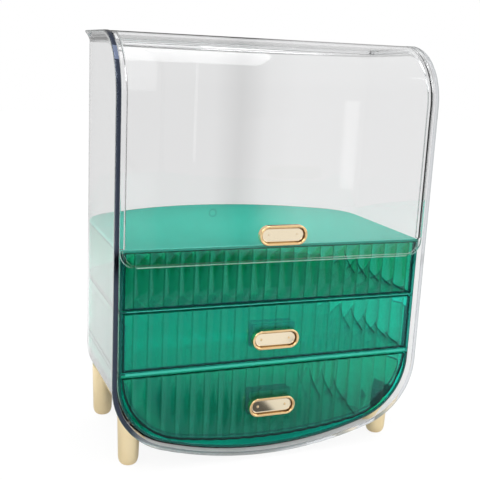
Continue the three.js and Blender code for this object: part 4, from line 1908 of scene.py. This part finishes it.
@dataclass
class Feet:
    """Four tapered round pegs, cut at the top to the curved underside."""

    outline: CaseOutline = CaseOutline()
    tip_radius: float = 9.4 * MM
    top_radius: float = 11.0 * MM
    pad_radius: float = 4.0 * MM
    pad_share: float = 0.6
    blank: float = 66.0 * MM
    waist_height: float = 22.0 * MM
    head_edge: float = 0.4 * MM
    head_shares: tuple[float, ...] = (0.97, 0.75, 0.5, 0.25, 0.0)
    x: float = 128.0 * MM
    front_y: float = -75.15 * MM
    rear_y: float = 37.85 * MM
    steps: int = 40
    tip_steps: int = 10
    fit_rounds: int = 6

    def tip(self) -> Section:
        """The section of the peg's rounded tip, from the pad up.

        Returns:
            Radii and heights.
        """
        radius = self.tip_radius
        points = [(0.0, 0.0), (self.pad_radius * self.pad_share, 0.0)]
        for step in range(self.tip_steps + 1):
            t = step / self.tip_steps
            reach = (1 - t) ** 2 * self.pad_radius + 2 * t * (1 - t) * radius + t**2 * radius
            points.append((reach, t**2 * radius))
        return points

    def side(self, height: float) -> float:
        """The peg's radius at a height above its tip."""
        slope = (self.top_radius - self.tip_radius) / (self.blank - self.tip_radius)
        return self.tip_radius + slope * (height - self.tip_radius)

    def peg(self, x: float, y: float) -> Loft:
        """One peg.

        Args:
            x: Its place across.
            y: Its place along Y.

        Returns:
            The mesh in the making.
        """
        counts = [step % self.steps for step in range(self.steps + 1)]
        turns = [2.0 * math.pi * count / self.steps for count in counts]

        def ring(radius: float, z: float) -> Points:
            """A level round of the peg."""
            return [Vector((x + radius * math.cos(a), y + radius * math.sin(a), z)) for a in turns]

        def head(share: float, drop: float) -> Points:
            """A round of the peg's top, which follows the case's underside.

            Args:
                share: Its radius as a share of the side's.
                drop: How far it lies below the case's gap.

            Returns:
                The points.
            """
            points = []
            for turn in turns:
                height = self.blank
                for _ in range(self.fit_rounds):
                    radius = self.side(height)
                    place = x + share * radius * math.cos(turn)
                    height = self.outline.low(place, -GAP) - drop
                points.append(Vector((place, y + share * radius * math.sin(turn), height)))
            return points

        rows = [ring(radius, z) for radius, z in self.tip()]
        rows.append(ring(self.side(self.waist_height), self.waist_height))
        rows.append(head(1.0, self.head_edge))
        rows.extend(head(share, 0.0) for share in self.head_shares)
        loft = Loft()
        loft.skin(rows)
        return loft

    def build(self, shop: Workshop) -> None:
        """Makes the four pegs.

        Args:
            shop: The workshop.
        """
        for row, y in (("front", self.front_y), ("rear", self.rear_y)):
            for hand, side in zip(HANDS, SIDES):
                name, peg = f"foot_{row}_{hand}", self.peg(side * self.x, y)
                shop.place(f"tapered_{name}", peg, Slot.CHAMPAGNE, Body.CASE, name)
                shop.dress(f"foot_screw_{row}_{hand}", Slot.STEEL)


# Drawers


@dataclass
class ReededFront:
    """A green panel with round upright reeds on its face and a flat back."""

    finish: ReededPlastic
    top: float
    low: Callable[[float], float]
    half_width: float = FRONT_HALF_WIDTH
    rise: float = 1.2 * MM
    thickness: float = 2.2 * MM
    face: float = CABINET_FRONT
    edge_share: float = 0.3
    least_height: float = 1.5 * MM
    slope_reach: float = 1.0 * MM
    steps: int = 12

    @property
    def depth(self) -> float:
        """Distance from the crowns to the back."""
        return self.rise + self.thickness

    def reed(self, x: float) -> float:
        """Depth of the face below the crown of a reed.

        Args:
            x: The place across.

        Returns:
            The depth.
        """
        half = REED_PITCH / 2.0
        radius = (half**2 + self.rise**2) / (2.0 * self.rise)
        offset = (x - FIRST_GROOVE) % REED_PITCH - half
        return radius - math.sqrt(radius**2 - offset**2)

    def column(self, x: float) -> Points:
        """One upright line round the panel: up the face, over, down the back.

        Args:
            x: The place across.

        Returns:
            The points.
        """
        low = min(self.low(x), self.top - self.least_height)
        face = self.face + self.reed(x)
        back = self.face + self.depth
        inward = self.edge_share * EDGE
        rim = [(0.0, EDGE), (inward, inward), (EDGE, 0.0)]
        up = [(face + setback, low + rise) for rise, setback in rim]
        over = [(face + setback, self.top - rise) for rise, setback in reversed(rim)]
        return [Vector((x, *place)) for place in (*up, *over, (back, self.top), (back, low))]

    def panel(self) -> Loft:
        """The panel, reed beside reed.

        Returns:
            The mesh in the making.
        """
        step = REED_PITCH / self.steps
        first = math.ceil((-self.half_width - FIRST_GROOVE) / step)
        last = math.floor((self.half_width - FIRST_GROOVE) / step)
        places = [FIRST_GROOVE + step * count for count in range(first, last + 1)]
        places = [-self.half_width, *places, self.half_width]
        return Loft().stack([self.column(x) for x in places])

    def place(self, shop: Workshop, name: str, panel: Loft, body: Body, node: str) -> None:
        """Makes the piece, and marks each point's distance from the lower edge, along the face.

        Args:
            shop: The workshop.
            name: The piece's name.
            panel: Its mesh in the making.
            body: The body that it rides on.
            node: The CAD node that it replaces.
        """
        mesh = shop.place(name, panel, Slot.GREEN, body, node, self.finish.material())
        reach = self.slope_reach
        for vert, height in marks(mesh, self.finish.rise_mark):
            x, _, z = vert.co
            inner = max(-self.half_width + reach, min(self.half_width - reach, x))
            slope = (self.low(inner + reach) - self.low(inner - reach)) / (2.0 * reach)
            height.value = (z - self.low(x)) / math.hypot(1.0, slope)


@dataclass
class Drawer:
    """One drawer: reeded front with its boss, tray and pull."""

    body: Body
    front: ReededFront
    pull_height: float
    boss_width: float = 41.5 * MM
    boss_below: float = 8.75 * MM
    boss_above: float = 13.5 * MM
    boss_depth: float = 11.0 * MM
    boss_edge: float = 0.3 * MM

    def build(self, shop: Workshop, tray: Loft) -> None:
        """Makes the drawer.

        Args:
            shop: The workshop.
            tray: The tray's mesh in the making.
        """
        name = self.body.value
        front = self.front
        panel = front.panel()
        back = front.face + front.depth
        half = self.boss_width / 2
        near = Vector((-half, back - front.thickness / 2, self.pull_height - self.boss_below))
        far = Vector((half, back + self.boss_depth, self.pull_height + self.boss_above))
        panel.block(near, far, self.boss_edge)
        front.place(shop, f"{name}_reeded_front", panel, self.body, f"{name}_front")
        shop.place(f"{name}_deep_tray", tray, Slot.GREEN, self.body, f"{name}_tray")
        pull = OvalPull(face=front.face, height=self.pull_height, panel=front.depth)
        pull.build(shop, f"{name}_gold_pull", self.body, f"{name}_pull")


@dataclass
class Trays:
    """The trays behind the drawer fronts."""

    shape: DrawerOutline = DrawerOutline()
    wall: float = 2.0 * MM
    heel: float = 2.0 * MM
    heel_bow: float = 0.6 * MM
    middle_low: float = 96.1 * MM
    middle_height: float = 42.0 * MM
    lower_top: float = 82.0 * MM
    lower_heel: float = 8.0 * MM

    def middle(self) -> Loft:
        """The middle tray: floor and walls, open to its front.

        Returns:
            The mesh in the making.
        """
        shape = self.shape
        plan = CaseOutline(under=shape.tray_plan, behind=shape.tray_plan, back=shape.tray_back)
        low, high, wall = self.middle_low, self.middle_low + self.middle_height, self.wall
        section = [
            (self.heel, low), (self.heel_bow, low + self.heel_bow), (0.0, low + self.heel),
            (0.0, high - EDGE), (EDGE, high), (wall - EDGE, high), (wall, high - EDGE),
            (wall, low + wall + EDGE), (wall + EDGE, low + wall),
        ]
        return Loft().trough([plan.wall_path(inset, shape.tray_front, z) for inset, z in section])

    def lower(self) -> Loft:
        """The lower tray, rounded like its front.

        Returns:
            The mesh in the making.
        """
        shape = self.shape
        tub = CaseOutline(
            under=shape.lower, behind=shape.tray_plan, bottom=shape.lower_bottom,
            back=shape.tray_back, front=shape.tray_front, top=self.lower_top, bend=TUB_BEND,
            heel=self.lower_heel, behind_shift=shape.tray_inset, bend_steps=TUB_STEPS,
        )
        return tub.tub(tub_edge(shape.tray_inset, shape.tray_inset + self.wall))


# Studio


@dataclass(frozen=True)
class Softbox:
    """One softbox: where it hangs, what it faces, its width and height, and its watts."""

    name: str
    place: Colour
    aim: Colour
    size: Pair
    power: float

    def hang(self) -> None:
        """Hangs the softbox."""
        data = bpy.data.lights.new(self.name, "AREA")
        data.shape = "RECTANGLE"
        data.size, data.size_y = self.size
        data.energy = self.power
        lamp = bpy.data.objects.new(self.name, data)
        lamp.location = self.place
        toward = Vector(self.aim) - Vector(self.place)
        lamp.rotation_euler = toward.to_track_quat("-Z", "Y").to_euler()
        bpy.context.scene.collection.objects.link(lamp)


@dataclass
class Studio:
    """Camera, floor, lamps and world."""

    camera_place: tuple[float, float, float] = (-0.29874, -0.76395, 0.36841)
    camera_turn: tuple[float, float, float] = (77.5019, -2.6610, -20.8106)
    lens: float = 63.04
    sensor: float = 36.0
    clip: Pair = (0.01, 50.0)
    floor_reach: float = 4.0
    floor_steps: int = 8
    wall: StudioWall = StudioWall(fold=(0.358, 0.03), right=(0.37, 0.05))
    high: Step = (0.4, 0.2)
    high_gain: float = 0.35
    dark_heights: Band = (0.10, 0.04, 0.33, 0.05)
    dark_from: tuple[Step, Step] = ((-0.05, 0.1), (0.0, 0.05))
    dark_right: float = 0.5
    dark_depth: float = 0.72
    lamps: tuple[Softbox, ...] = (
        Softbox("key", (-0.9, -0.9, 1.3), (0, 0, 0.2), (0.8, 0.8), 6.0),
        Softbox("fill", (1.2, -0.7, 0.8), (0, 0, 0.2), (0.5, 1.2), 3.0),
        Softbox("sail", (0.18, -0.18, 1.3), (0.18, -0.18, 0.0), (0.4, 0.55), 2.4),
        Softbox("band", (0.63, -1.15, 0.245), (0.051, -0.1, 0.32), (0.032, 0.34), 0.058),
    )

    def camera(self) -> None:
        """Sets up the camera at the photograph's place."""
        data = bpy.data.cameras.new("camera")
        data.lens = self.lens
        data.sensor_width = self.sensor
        data.clip_start, data.clip_end = self.clip
        camera = bpy.data.objects.new("camera", data)
        camera.location = self.camera_place
        camera.rotation_euler = Euler([math.radians(turn) for turn in self.camera_turn], "XYZ")
        bpy.context.scene.collection.objects.link(camera)
        bpy.context.scene.camera = camera

    def floor(self) -> None:
        """Lays the floor."""
        bm = bmesh.new()
        steps = self.floor_steps
        bmesh.ops.create_grid(bm, x_segments=steps, y_segments=steps, size=self.floor_reach)
        mesh = bpy.data.meshes.new("floor")
        bm.to_mesh(mesh)
        bm.free()
        mesh.materials.append(StudioFloor().material())
        floor = bpy.data.objects.new("floor", mesh)
        bpy.context.scene.collection.objects.link(floor)

    def world(self) -> None:
        """Makes the world: white where it is seen and lights, and a room where it is mirrored."""
        world = bpy.data.worlds.new("studio")
        bpy.context.scene.world = world
        recipe = Recipe(world)
        _, shown = recipe.rays()
        x, y, z = recipe.axes("Generated")
        wall, right = self.wall.shade(x, z.above(*self.high) * self.high_gain)
        aside, ahead = self.dark_from
        dark = z.within(*self.dark_heights) * y.above(*ahead) * x.above(*aside)
        room = wall - dark * (1.0 - right * self.dark_right) * self.dark_depth
        inputs = {"Color": (1.0, 1.0, 1.0, 1.0), "Strength": 1.0 - shown * (1.0 - room)}
        shell = recipe.node("ShaderNodeBackground", {}, inputs)
        recipe.node("ShaderNodeOutputWorld", {}, {"Surface": shell})

    def build(self) -> None:
        """Sets up the whole studio."""
        self.camera()
        self.floor()
        for lamp in self.lamps:
            lamp.hang()
        self.world()
        bpy.context.scene.view_settings.view_transform = "Standard"


def main() -> None:
    """Builds the organizer, piece by piece, in its studio."""
    logging.basicConfig(level=logging.INFO, format="%(name)s: %(message)s")
    Studio().build()
    shop = Workshop()
    ClearCase().build(shop)
    BentLid().build(shop)
    lid_pull = OvalPull(face=LID_FACE, height=LID_PULL_HEIGHT, panel=LID_THICKNESS)
    lid_pull.build(shop, "lid_gold_pull", Body.LID, "lid_pull")
    for hand in HANDS:
        shop.dress(f"hinge_pin_{hand}", Slot.STEEL)
    Cabinet().build(shop)
    upper = ReededFront(DEEP_GREEN, UPPER_FRONT[1], lambda x: UPPER_FRONT[0])
    middle = ReededFront(MIDDLE_GREEN, MIDDLE_FRONT[1], lambda x: MIDDLE_FRONT[0])
    lower = ReededFront(LOWER_GREEN, LOWER_FRONT[1], DrawerOutline().front_bottom)
    name = "green_upper_reeded_front"
    upper.place(shop, name, upper.panel(), Body.CASE, "upper_bay_front")
    trays = Trays()
    Drawer(Body.MIDDLE, middle, MIDDLE_PULL_HEIGHT).build(shop, trays.middle())
    Drawer(Body.LOWER, lower, LOWER_PULL_HEIGHT).build(shop, trays.lower())
    Feet().build(shop)


if __name__ == "__main__":
    main()
